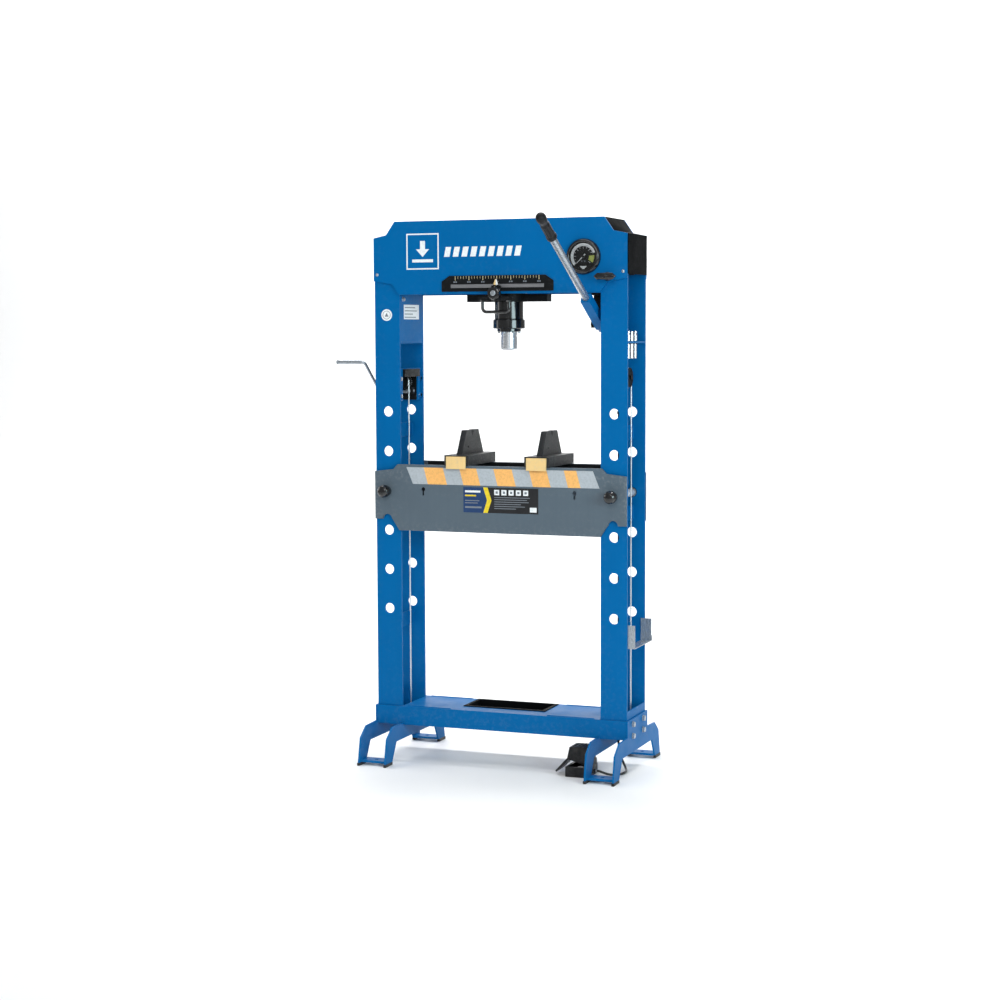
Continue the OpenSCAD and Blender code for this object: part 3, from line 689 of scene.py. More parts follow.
# Maker, name, colour and look of each finish; a colour by name is one of PressPaint's.
FINISHES = {
    "blue": (painted, "frame_blue", "frame", {}),
    "black": (painted, "satin_black", "black", dict(
        gloss=(0.38, 0.55), wear=0.5, bare=(0.07, 0.07, 0.075), coat=0.0, dust=0.06,
        shine=0.12)),
    "cover": (painted, "cover_black", srgb(9, 10, 12), dict(
        gloss=(0.6, 0.75), wear=0.3, bare=(0.05, 0.05, 0.055), coat=0.0, dust=0.0,
        shine=0.04)),
    "gloss": (painted, "gloss_black", "gloss", dict(
        gloss=(0.12, 0.22), peel=0.00004, wear=0.05, bare=(0.1, 0.1, 0.11), coat=0.4,
        dust=0.01, shine=0.6)),
    "bed": (painted, "bed_grey", "bed", dict(
        gloss=(0.3, 0.45), wear=0.5, bare=(0.36, 0.37, 0.38), coat=0.04)),
    "cream": (painted, "block_cream", "face", dict(
        gloss=(0.35, 0.5), wear=0.4, bare=(0.45, 0.42, 0.36), coat=0.1, dust=0.05)),
    "iron": (casting, "block_black", "black", {}),
    "zinc": (plated, "zinc_plate", "zinc", dict(metallic=0.6)),
    "tube": (plated, "drawn_tube", (0.40, 0.43, 0.46), dict(
        gloss=(0.2, 0.32), stretch=(1, 0.06, 0.06), metallic=0.8)),
    "ground": (plated, "ground_ram", (0.66, 0.68, 0.7), dict(
        gloss=(0.24, 0.34), stretch=(0.05, 0.05, 1), depth=0.00001, scale=1400.0,
        metallic=0.85)),
    "chrome": (plated, "ground_chrome", (0.85, 0.86, 0.88), dict(
        gloss=(0.05, 0.14), stretch=(0.05, 0.05, 1), depth=0.00001, scale=1400.0)),
    "turned_x": (plated, "turned_x", "zinc", dict(
        stretch=(1, 0.06, 0.06), metallic=0.7)),
    "turned_y": (plated, "turned_y", (0.68, 0.69, 0.7), dict(
        stretch=(0.06, 1, 0.06), metallic=0.4)),
    "wire": (plated, "wire_strand", (0.82, 0.83, 0.85), dict(
        gloss=(0.22, 0.4), stretch=(1, 1, 1), depth=0.00005, scale=1500.0,
        metallic=0.9)),
    "silver": (plated, "anodised_strip", (0.36, 0.37, 0.39), dict(
        gloss=(0.3, 0.45), stretch=(0.04, 1, 1))),
    "spring": (plated, "spring_wire", (0.5, 0.5, 0.52), {}),
    "rubber": (moulded, "plain_rubber", (0.012, 0.012, 0.013), {}),
    "grip": (moulded, "grip_rubber", (0.008, 0.008, 0.009), dict(
        gloss=(0.32, 0.5), grain=700.0, depth=0.00012)),
    "hose": (moulded, "hose_rubber", (0.018, 0.018, 0.02), dict(
        gloss=(0.3, 0.45), grain=2600.0, depth=0.00004)),
    "plastic": (moulded, "pedal_plastic", (0.007, 0.0075, 0.009), dict(
        gloss=(0.34, 0.5), grain=900.0, depth=0.0001)),
    "white": (printed, "print_white", "white", {}),
    "tape": (printed, "tape_grey", "tape", {}),
    "orange": (printed, "tape_orange", "stripe", {}),
    "navy": (printed, "label_navy", srgb(24, 58, 104), {}),
    # black print on the bed label; on the mandrels the same black is a ring of painted
    # shade
    "ink": (printed, "label_black_and_shade", srgb(26, 27, 30), {}),
    "yellow": (printed, "label_yellow", srgb(236, 206, 40), {}),
    "lime": (printed, "dial_lime", srgb(200, 208, 110), {}),
    "slate": (printed, "label_grey", srgb(120, 126, 134), {}),
    "dial": (printed, "dial_black", srgb(17, 18, 20), {}),
    "brassy": (printed, "scale_mark", srgb(214, 200, 160), {}),
    "glass": (window, "window_glass", (0.004, 0.006, 0.006), {}),
}


def finish(key):
    """Finish by its key, made the first time it is asked for."""
    if key not in made_finishes:
        maker, name, colour, look = FINISHES[key]
        if isinstance(colour, str):
            colour = getattr(bpy.context.scene.press_paint, colour)
        made_finishes[key] = new_material(name, maker, colour, **look)
    return made_finishes[key]


# ---- operators ---------------------------------------------------------------


def aimed(data, at, right, up, back):
    """Links a camera or light that looks away from its third direction."""
    thing = bpy.data.objects.new(data.name, data)
    bpy.context.collection.objects.link(thing)
    turn = Matrix(np.stack([right, up, back], 1).tolist()).to_4x4()
    thing.matrix_world = Matrix.Translation(at) @ turn
    return thing


# Name, place, aim, width and height in metres, watts and colour of each light.
LIGHTS = (
    ("key", (1.3, -5.6, 3.5), (0, 0, 1.0), (2.6, 2.6), 112, (1, 1, 1)),
    ("right", (5.0, -3.4, 2.0), (0.3, 0, 0.9), (2.0, 3.0), 165, (0.72, 0.95, 1.0)),
    ("left", (-4.6, -0.6, 2.2), (-0.3, 0, 1.0), (1.6, 3.0), 26, (1, 1, 1)),
    ("top", (0.2, -0.4, 4.8), (0, 0, 0.9), (3.2, 2.6), 60, (1, 1, 1)),
    ("wall", (-1.0, 1.2, 5.4), (-1.4, 4.8, 1.6), (6.0, 1.6), 420, (1, 1, 1)),
)


class PRESS_OT_stage(bpy.types.Operator):
    """Sets up the camera, a pale floor and soft studio light"""

    bl_idname = "press.stage"
    bl_label = "Stage"

    def camera(self, settings):
        cos_yaw, cos_pitch, cos_roll = np.cos(
            [settings.yaw, settings.pitch, settings.roll]
        )
        sin_yaw, sin_pitch, sin_roll = np.sin(
            [settings.yaw, settings.pitch, settings.roll]
        )
        ahead = np.array([-sin_yaw * cos_pitch, cos_yaw * cos_pitch, -sin_pitch])
        right = np.array([cos_yaw, sin_yaw, 0])
        over = np.cross(right, ahead)
        right, over = (
            cos_roll * right + sin_roll * over,
            cos_roll * over - sin_roll * right,
        )
        data = bpy.data.cameras.new("camera")
        data.lens, data.sensor_width, data.clip_end = settings.lens, 36, 60
        return aimed(data, settings.camera, right, over, -ahead)

    def light(self, name, at, aim, size, power, colour):
        data = bpy.data.lights.new(name, "AREA")
        data.shape, data.size, data.size_y = "RECTANGLE", *size
        data.energy, data.color = power, colour
        axis, side, other = across(np.array(at) - np.array(aim))
        aimed(data, at, side, other, axis)

    def floor(self, tone):
        """Floor with a wall that it rises into behind the press, along a quarter
        circle, and a flat part to its right."""
        thick, radius, start, top, front = 60, 1600, 3200, 7000, -9000
        left, edge, right, rear = -6500, 1650, 7000, 2600
        turn = np.radians(np.linspace(0, 90, 24))
        curve = np.stack([start + radius * np.sin(turn),
                          radius - radius * np.cos(turn)], -1)
        line = np.vstack([[(front, 0)], curve, [(start + radius, top)]])
        back = line + np.array([(0, -thick)] + [(thick, -thick)] * (len(line) - 1))
        shape = Shape().plate(np.vstack([line, back[::-1]]), left, edge, X)
        shape.plate(rectangle(edge, front, right, rear), -thick, 0, Z)
        mesh = shape.mesh("floor")
        mesh.materials.append(new_material("studio_floor", paper, (tone,) * 3))
        ground = bpy.data.objects.new("floor", mesh)
        bpy.context.collection.objects.link(ground)

    def execute(self, context):
        settings = context.scene.press_stage
        context.scene.camera = self.camera(settings)
        world = bpy.data.worlds.new("studio")
        world.use_nodes = True
        feed(world.node_tree.nodes["Background"], {0: PLAIN, 1: settings.ambient})
        context.scene.world = world
        context.scene.view_settings.view_transform = "Standard"
        self.floor(settings.floor)
        for row in LIGHTS:
            self.light(*row)
        return {"FINISHED"}


HOSE_DIAMETER = 8.0
HOSE_ROUTE = np.array([
    (353, -128, 16), (364, -128, 16), (377, -127, 12.5), (391, -124, 8),
    (405, -117, 5), (419, -106, 4.2), (429, -91, 4.2), (434, -73, 4.2),
    (434, -54, 4.4), (430, -36, 5.6), (423, -20, 9.5), (414, -7, 17.5),
    (404, 3, 30), (395, 11, 45), (389, 16, 62), (386, 18, 80), (385, 18, 98),
    (385, 18, 106),
])


class PRESS_OT_hose(bpy.types.Operator):
    """Lays the foot valve's air hose"""

    bl_idname = "press.hose"
    bl_label = "Air hose"

    def execute(self, context):
        path = smooth(HOSE_ROUTE, 8)
        leaning = (0.3, 0.2, 1)
        grid = carried(path, disc(HOSE_DIAMETER / 2, 20), leaning)
        hose = Shape().skin(grid).replace("pedal_hose", "hose", name="hose")
        return {"FINISHED"}


class PRESS_OT_frame(bpy.types.Operator):
    """Dresses the columns, crossbeam and base, with their weld beads"""

    bl_idname = "press.frame"
    bl_label = "Frame"

    def bead(self, shape, first, last, radius):
        """Bead along a line: its radius ripples as the pool froze."""
        a, b = np.asarray(first, float), np.asarray(last, float)
        run = np.linalg.norm(b - a)
        s = np.linspace(0, run, max(6, int(run / 1.6)))
        ends = np.clip(np.minimum(s, run - s) / radius, 0.25, 1) ** 0.5
        size = radius * ends * (1 + 0.16 * np.abs(np.sin(s * np.pi / 6.5)))
        path = a + (b - a) * (s / run)[:, None]
        up = Z if abs((b - a)[2]) < run * 0.9 else Y
        shape.skin(carried(path, disc(size, 10), up))

    def execute(self, context):
        for node in ("column_left", "column_right", "column_webs", "column_shelves",
                     "beam_front_plate", "beam_rear_plate", "beam_web",
                     "carriage_rails", "base_frame", "base_top_plate", "foot_frames",
                     "winch_mount"):
            dress(node, "blue")
        for node, key, bevel in (("end_covers", "cover", 0.5),
                                 ("parts_tray", "cover", 0.8),
                                 ("foot_pads", "rubber", 1.5)):
            dress(node, key, bevel=bevel)

        radius = context.scene.press_edges.bead / MM
        welds = Shape()

        def weld(first, last, scale=1.0):
            self.bead(welds, first, last, radius * scale)

        wall = span("column_webs")[1][1]
        base_top, beam_low = 187, 1619
        for side in SIDES:
            # both edges of each batten's two ends
            for low in (445, 840, 1112):
                for x in (side * 403.2, side * 410.8):
                    for y in (-wall, wall):
                        weld((x, y, low + 2), (x, y, low + 48))
            # knee plate, shelf and base post
            for y in (-wall, wall):
                for x0, z0, x1, z1 in ((367.8, 1446, 367.8, 1600),
                                       (364, 1436, 450, 1436),
                                       (446.2, 126, 446.2, 213)):
                    weld((side * x0, y, z0), (side * x1, y, z1))
            # feet, and the columns' front and rear on the base
            for y in (-245, -195, 195, 245):
                for x in (side * 362, side * 452):
                    weld((x, y, 11), (x, y, 17), 0.7)
            for y in (-103, 103):
                weld((side * 361, y, base_top), (side * 361, y * 0.94, base_top), 0.8)
        # base's top plate and the crossbeam's lower edge
        for y in (-102.5, 102.5):
            for x0, x1 in ((-340, -180), (170, 340)):
                weld((x0, y, base_top - 0.6), (x1, y, base_top - 0.6), 0.6)
            for x in (-300, -180, 180, 300):
                weld((x - 20, y, beam_low), (x + 20, y, beam_low))
        welds.build("weld_beads", "frame", "frame_blue", "blue")
        return {"FINISHED"}


class PRESS_OT_fasteners(bpy.types.Operator):
    """Adds the bolts, nuts and screws that hold the press together"""

    bl_idname = "press.fasteners"
    bl_label = "Fasteners"

    def execute(self, context):
        feet = Shape()
        inner, outer = 447, 459
        for side in SIDES:
            for y in (-58, 58):
                for z in (129, 168):
                    feet.turn([(5.5, 435), (6, 436), (6, outer)], (0, y, z), side * X,
                              24)
                    feet.bolt((side * outer, y, z), side * X, 17, 8.5)
                    feet.bolt((side * inner, y, z), -side * X, 17, 9)
        feet.replace("foot_bolts", "zinc", name="foot_bolt_set")

        small = Shape()
        for side in SIDES:
            small.turn([(0.4, 3.0), (3.2, 2.6), (5.0, 1.2), (5.5, 0)],
                       (side * 440, -110.5, 1671), -Y, 24)
        for z in (1257, 1316):
            for y in (-83, 83):
                small.bolt((-369, y, z), X, 13, 7)
                small.bolt((-375, y, z), -X, 13, 6)
        small.bolt((-361, -75, 1588), X, 13, 7)
        for x in (306, 350):
            for y in (-50, 52):
                small.bolt((x, y, 1596), -Z, 10, 6)
        small.build("frame_bolts", "frame", "zinc_steel", "zinc")
        return {"FINISHED"}


class PRESS_OT_marks(bpy.types.Operator):
    """Prints the plain marks on the crossbeam and the left column"""

    bl_idname = "press.marks"
    bl_label = "Marks"

    def execute(self, context):
        x0, x1, z0, z1, line = -330, -211, 1687, 1808, 4.5
        xm = (x0 + x1) / 2
        arrow = [(9, 96), (9, 68), (24, 68), (0, 42), (-24, 68), (-9, 68), (-9, 96)]
        # a frame, a line with an arrow over it, and then a row of slanted bars
        outlines = [
            rectangle(x0, z0, x1, z0 + line),
            rectangle(x0, z1 - line, x1, z1),
            rectangle(x0, z0 + line, x0 + line, z1 - line),
            rectangle(x1 - line, z0 + line, x1, z1 - line),
            rectangle(xm - 38, z0 + 24, xm + 38, z0 + 34),
            [(xm - x, z0 + z) for x, z in arrow],
        ]
        low, high, width, lean, pitch = 1728, 1761, 20, 7, 31.6
        for i in range(9):
            x = -192 + i * pitch
            outlines.append([(x, low), (x + width, low), (x + width + lean, high),
                             (x + lean, high)])
        film = Shape()
        for outline in outlines:
            film.film(outline, front_of("beam_front_plate"))
        film.build("crossbeam_marks", "frame", "needle_white", "white")

        badge = Shape()
        face, thick = front_of("column_left"), 0.3
        at = (-409, face, 1534.5)
        badge.turn([(0.5, thick), (19.6, thick), (20, 0)], at, -Y, 48)
        badge.turn([(13, 0.5), (14.5, 0.5), (14.5, thick), (13, thick)], at, -Y, 48, 1,
                   loop=True)
        badge.plate([(-416, 1529), (-409, 1542), (-402, 1529)], face - 0.5,
                    face - thick, Y, 1)
        badge.build("round_badge", "frame", "needle_white", "white", "slate")

        label = Shape()
        x, thick, left, half = -361.0, 0.8, -60, 1.6
        label.plate(rectangle(-66, 1520, 62, 1570), x, x + thick, X)
        for size, z in ((88, 1560), (104, 1549), (70, 1538), (96, 1527)):
            label.plate(rectangle(left, z - half, left + size, z + half), x + thick,
                        x + 1.0, X, 1)
        label.build("column_label", "frame", "needle_white", "white", "slate")
        return {"FINISHED"}


class PRESS_OT_gauge(bpy.types.Operator):
    """Makes the pressure gauge: case, rim, dial, window and pointer"""

    bl_idname = "press.gauge"
    bl_label = "Gauge"

    def band(self, centre, inner, outer, first, last, thick, steps=48):
        """Flat arc: four corners carried round the dial from one angle to another,
        counted clockwise from the top."""
        angle = np.radians(np.linspace(first, last, steps))
        way = np.stack([np.sin(angle), 0 * angle, np.cos(angle)], -1)
        corners = ((inner, 0), (outer, 0), (outer, thick), (inner, thick))
        return np.stack([centre + r * way - d * Y for r, d in corners], 1)

    def execute(self, context):
        cx, _, cz = middle("gauge_glass")
        front = front_of("beam_front_plate")
        at = (cx, front, cz)
        back = front - span("gauge_case")[1][1]
        Shape().turn([
            (0.8, 5), (47, 5), (47, 12.4), (48.2, 14.2), (50.5, 15), (53, 14.8),
            (54.6, 13.6), (58, 8.8), (59, 6.5), (59, 0), (48.2, 0), (48.2, -36.5),
            (46.5, -38), (9, -38), (9, back), (0.8, back),
        ], at, -Y, 96).replace("gauge_case", "gloss", name="gauge_body")

        face = Shape()
        y, thick, mark = front - 5, 0.6, 0.2
        face.turn([(46.6, 0), (46.6, thick), (0.5, thick)], (cx, y, cz), -Y, 96)
        y -= thick
        centre = np.array([cx, y, cz])
        # white and lime bands, ticks, a plain sign and two small blocks
        face.skin(self.band(centre, 34, 43, -132, 72, mark), 1)
        face.skin(self.band(centre, 20, 38, 84, 122, 0.25, 16), 2)
        for i, angle in enumerate(np.linspace(-132, 132, 13)):
            inner = 28.5 if i % 2 else 24.5
            face.skin(self.band(centre, inner, 32.5, angle - 1.3, angle + 1.3, mark, 3),
                      1)
        sign = [(-12, -31), (12, -31), (8, -37), (4.5, -37), (4.5, -41), (-4.5, -41),
                (-4.5, -37), (-8, -37)]
        face.plate([(cx + x, cz + z) for x, z in sign], y - mark, y, Y, 1)
        for x in (cx - 5, cx + 5):
            face.plate(rectangle(x - 2.4, cz - 18, x + 2.4, cz - 13), y - mark, y, Y, 3)
        face.build("gauge_dial", "frame", "gauge_black", "dial", "white", "lime",
                   "slate")

        Shape().turn([
            (46.7, 11.4), (46.7, 12.6), (40, 13.3), (28, 13.9), (14, 14.3),
            (0.6, 14.45), (0.6, 13.25), (14, 13.1), (28, 12.7), (40, 12.1),
        ], at, -Y, 96).replace("gauge_glass", "glass", name="gauge_window")

        turn = np.radians(225)
        way = np.array([np.sin(turn), 0, np.cos(turn)])
        side = np.array([np.cos(turn), 0, -np.sin(turn)])
        pivot = np.array([cx, -119.7, cz])
        station = np.array([-11, -3, 0, 20, 32.5])[:, None, None]
        half = np.array([2.2, 1.4, 2.0, 1.1, 0.25])[:, None, None]
        corner = np.array([(-1, 0.35), (1, 0.35), (1, -0.35), (-1, -0.35)])
        hand = Shape().skin(pivot + station * way + half * corner[:, :1] * side
                            + corner[:, 1:] * Y)
        hand.turn([(4.4, -2.9), (4.6, 0.4), (3.6, 1.5), (0.5, 1.9)], pivot, -Y, 32, 1)
        hand.replace("gauge_needle", "white", "dial", name="gauge_pointer")
        return {"FINISHED"}


class PRESS_OT_valve(bpy.types.Operator):
    """Makes the release valve's long six-sided knob on its stem"""

    bl_idname = "press.valve"
    bl_label = "Release valve"

    def execute(self, context):
        cx, _, cz = middle("release_valve")
        at = np.array([cx, 0, cz])
        outline = np.array([(-38, 0), (-26, 11), (26, 11), (38, 0), (26, -11),
                            (-26, -11)])
        valve = Shape().skin(np.stack([
            at + scale * (outline[:, :1] * X + outline[:, 1:] * Z) - depth * Y
            for depth, scale in ((136.2, 0.9), (137.5, 1.0), (147.2, 1.0),
                                 (149.3, 0.93), (150, 0.8))
        ]))
        valve.turn([(13, 104.2), (13, 108.8), (14.5, 111), (14.5, 117), (11, 121),
                    (9, 124), (9, 137)], at, -Y, 48)
        valve.turn([(0.5, 151), (6.5, 150.6), (7.5, 149.5)], at, -Y, 32)
        valve.replace("release_valve", "gloss", name="valve_knob", bevel=0.8)
        return {"FINISHED"}


class PRESS_OT_head_scale(bpy.types.Operator):
    """Makes the head's scale plate, its graduations and sliding strip"""

    bl_idname = "press.head_scale"
    bl_label = "Head scale"

    def execute(self, context):
        dress("scale_plate", "black", bevel=1.2)
        face = front_of("scale_plate")
        reach, top = 150, 1662.5
        strip = Shape().plate(rectangle(-166.5, 1623, 166.5, 1635), face + 0.6,
                              face + 2.4)
        strip.build("scale_strip", "frame", "zinc_steel", "silver", bevel=0.5)
        marks = Shape()
        for x in np.arange(-reach, reach + 1, 10):
            long = x % 50 == 0
            half, bottom = (0.95, 1648.5) if long else (0.55, 1653.5)
            marks.film(rectangle(x - half, bottom, x + half, top), face)
            if long:
                for left in (x - 6, x + 1.2):
                    marks.film(rectangle(left, 1640.5, left + 4.8, 1645.5), face, 1)
        marks.build("scale_marks", "frame", "needle_white", "brassy", "slate")
        return {"FINISHED"}


class PRESS_OT_ram_head(bpy.types.Operator):
    """Makes the travelling head: frame, rollers, bracket, handle and clamp knob"""

    bl_idname = "press.ram_head"
    bl_label = "Ram head"

    def knob(self, at):
        """Clamp knob: a turned profile whose radius dips six times in a turn."""
        profile = np.array([(12, 0), (13, 3), (15, 5), (20.5, 6.2), (22, 8), (22, 16.5),
                            (20.5, 19.4), (17, 20.6), (9.5, 21)])
        sides = 96
        grid = turned(profile, at, -Y, sides, support=False)
        lobes = 0.05 * (0.5 + 0.5 * np.cos(6 * np.arange(sides) * TAU / sides)) ** 3
        held = np.clip((profile[:, 0] - 15) / 6, 0, 1)
        dip = (held[:, None] * lobes)[..., None] * (X + Z)
        knob = Shape().skin(grid - (grid - at) * dip)
        knob.turn([(8.8, 20.5), (8.8, 21.3), (8.0, 21.9), (0.5, 22.4)], at, -Y, 48, 1)
        knob.turn([(5, -20), (5, 0)], at, -Y, 32, 1)
        knob.replace("clamp_knob", "gloss", "zinc")

    def execute(self, context):
        dress("carriage_frame", "black", bevel=1.0)
        tip = Shape()
        low, shoulder, top, front, back = 1632, 1637, 1650.8, -124.7, -124
        tip.plate([(-7.5, low), (0, low), (0, top), (-2.6, top), (-7.5, shoulder)],
                  front, back)
        tip.plate([(0, low), (7.5, low), (7.5, shoulder), (2.6, top), (0, top)],
                  front, back, Y, 1)
        tip.build("scale_pointer", "carriage", "needle_white", "cream", "white")

        reach, y, top, low = 47, -125, 1581, 1542
        path = bent([(-reach, y, top), (-reach, y, low), (reach, y, low),
                     (reach, y, top)], 14, 14)
        handle = Shape().skin(carried(path, disc(5.5, 24), Y))
        for x in (-reach, reach):
            handle.skin(hexagon_head((x, y, top - 1), -Z, 15, 5))
        handle.replace("carriage_handle", "gloss", name="head_handle")
        self.knob(np.array([0, -131, 1604]))

        for node in ("roller_set_left", "roller_set_right"):
            rollers = Shape()
            at = middle(node) * (X + Z)
            rollers.turn([(5, -92), (6, -91), (6, 91), (5, 92)], at, Y, 48)
            for side in SIDES:
                rollers.turn([(6.05, 72), (16.6, 72), (17.9, 73.4), (17.9, 88.6),
                              (16.6, 90), (6.05, 90)], at, side * Y, 64, loop=True)
                rollers.turn([(6, 90.1), (9, 90.1), (9, 91.2), (6, 91.2)], at, side * Y,
                             32, 1, loop=True)
            rollers.replace(node, "turned_y", "black")
        return {"FINISHED"}


class PRESS_OT_cylinder(bpy.types.Operator):
    """Makes the cylinder, its collar and gland, the ram and the return spring"""

    bl_idname = "press.cylinder"
    bl_label = "Cylinder and ram"

    def execute(self, context):
        top = span("cylinder_body")[1][2]
        Shape().turn([
            (40, 1519), (48, 1519), (49.5, 1520.5), (49.5, 1648.0), (65, 1648.1),
            (65, 1658), (63, 1660), (49.5, 1660), (49.5, 1727), (46.5, 1730),
            (20, 1730), (19, top), (0.8, top), (0.8, 1712), (40, 1712),
        ], sides=96, loop=True).replace("cylinder_body", "gloss", name="cylinder_skin")

        low = 1476
        collar = Shape().turn([
            (28.05, low), (39.4, low), (41, 1477.6), (41, 1486), (52.6, 1486),
            (55, 1488.6), (55, 1514.8), (53.2, 1517.4), (50.6, 1518), (50.6, 1519),
            (28.05, 1519),
        ], sides=96, loop=True)
        for angle in np.radians(60 * np.arange(6) + 20):
            at = (34.6 * np.cos(angle), 34.6 * np.sin(angle), low)
            collar.turn([(4.4, 0), (4.4, 4), (3.8, 4.8), (2.4, 4.8), (2.2, 1.2)], at,
                        -Z, 20, 1)
        collar.replace("cylinder_collar", "gloss", "zinc", name="collar_skin")

        Shape().turn([
            (0.8, 1415), (24.6, 1415), (27.6, 1418), (28, 1421), (28, 1459.4),
            (26.6, 1460.4), (26.6, 1463.6), (28, 1464.6), (28, 1672), (39, 1672),
            (39.9, 1673), (39.9, 1680), (38.4, 1681), (38.4, 1686), (39.9, 1687),
            (39.9, 1701), (39, 1702), (18, 1702), (18, 1446), (17, 1445), (0.8, 1445),
        ], sides=96, loop=True).replace("ram", "ground")

        coils, steps, first, last = 16, 24, 1449, 1708
        turn = np.linspace(0, coils * TAU, coils * steps)
        close = np.clip(np.minimum(turn, coils * TAU - turn) / TAU, 0, 1)
        rise = np.cumsum(0.28 + 0.72 * close)
        level = first + (last - first) * (rise - rise[0]) / (rise[-1] - rise[0])
        path = np.stack([13 * np.cos(turn), 13 * np.sin(turn), level], -1)
        spring = Shape().skin(carried(path, disc(2.5, 12), Z))
        spring.replace("return_spring", "spring", name="spring_skin")
        return {"FINISHED"}


class PRESS_OT_pump(bpy.types.Operator):
    """Makes the pump block, its plunger and pivot, and the pump handle"""

    bl_idname = "press.pump"
    bl_label = "Pump and handle"

    def grip(self, pivot, way):
        """Rubber grip: a turned profile whose middle has fourteen flutes."""
        at = np.array([545, 545.6, 548, 556, 560, 566, 614, 622, 630, 634, 640, 650,
                       660, 668, 673, 675.5, 676])
        radius = np.array([12.6, 15.6, 17.2, 17.4, 16.2, 15.6, 15.8, 15.2, 13.4, 13.2,
                           14.4, 16.4, 16.9, 15.6, 12.2, 7.6, 2.0])
        sides, first, last, fade = 96, 560, 620, 6
        fine = np.linspace(at[0], at[-1], 130)
        profile = np.stack([np.interp(fine, at, radius), fine], -1)
        grid = turned(profile, pivot, way, sides, support=False)
        core = pivot + fine[:, None, None] * way
        wave = (0.5 - 0.5 * np.cos(14 * np.arange(sides) * TAU / sides)) ** 0.6
        held = np.clip((fine - first) / fade, 0, 1)
        held *= np.clip((last - fine) / fade, 0, 1)
        flute = 1 - 0.07 * held[:, None] * wave
        shape = Shape().skin(core + (grid - core) * flute[..., None])
        shape.replace("handle_grip", "grip")

    def execute(self, context):
        dress("pump_block", "black", bevel=1.2)
        dress("power_unit", "black", bevel=2.5)
        cx, cy, _ = middle("pump_plunger")
        (_, _, low), (_, _, high) = span("pump_plunger")
        plunger = Shape().turn([(0.5, low), (5, low + 0.2), (7.4, low + 1.6),
                                (8, low + 3.4), (8, high)], (cx, cy, 0), Z, 48)
        plunger.replace("pump_plunger", "chrome", name="plunger_skin")

        pivot = np.array([333, -20.6, 1500])
        pin = Shape().turn([(5.4, -32), (6, -31), (6, 28)], pivot, X, 32)
        pin.bolt(pivot - 28 * X, -X, 13, 5)
        pin.replace("handle_pivot", "zinc", name="handle_pin")

        dress("handle_socket", "blue", bevel=2.0)
        lift = np.radians(29.1)
        way = np.array([0, -np.cos(lift), np.sin(lift)])
        down = -np.cross(X, way)
        tube = Shape()
        tube.turn([(0.5, 62), (11.4, 62), (12, 63), (12, 545)], pivot, way, 48)
        tube.replace("handle_tube", "tube")
        screws = Shape()
        for along in (105, 150):
            screws.bolt(pivot + along * way + 15.9 * down, down, 10, 5)
        screws.build("socket_screws", "pump_handle", "zinc_steel", "zinc")
        self.grip(pivot, way)
        return {"FINISHED"}


DRUM = np.array([-411, 0, 1304])
LUG_LEVEL = 984


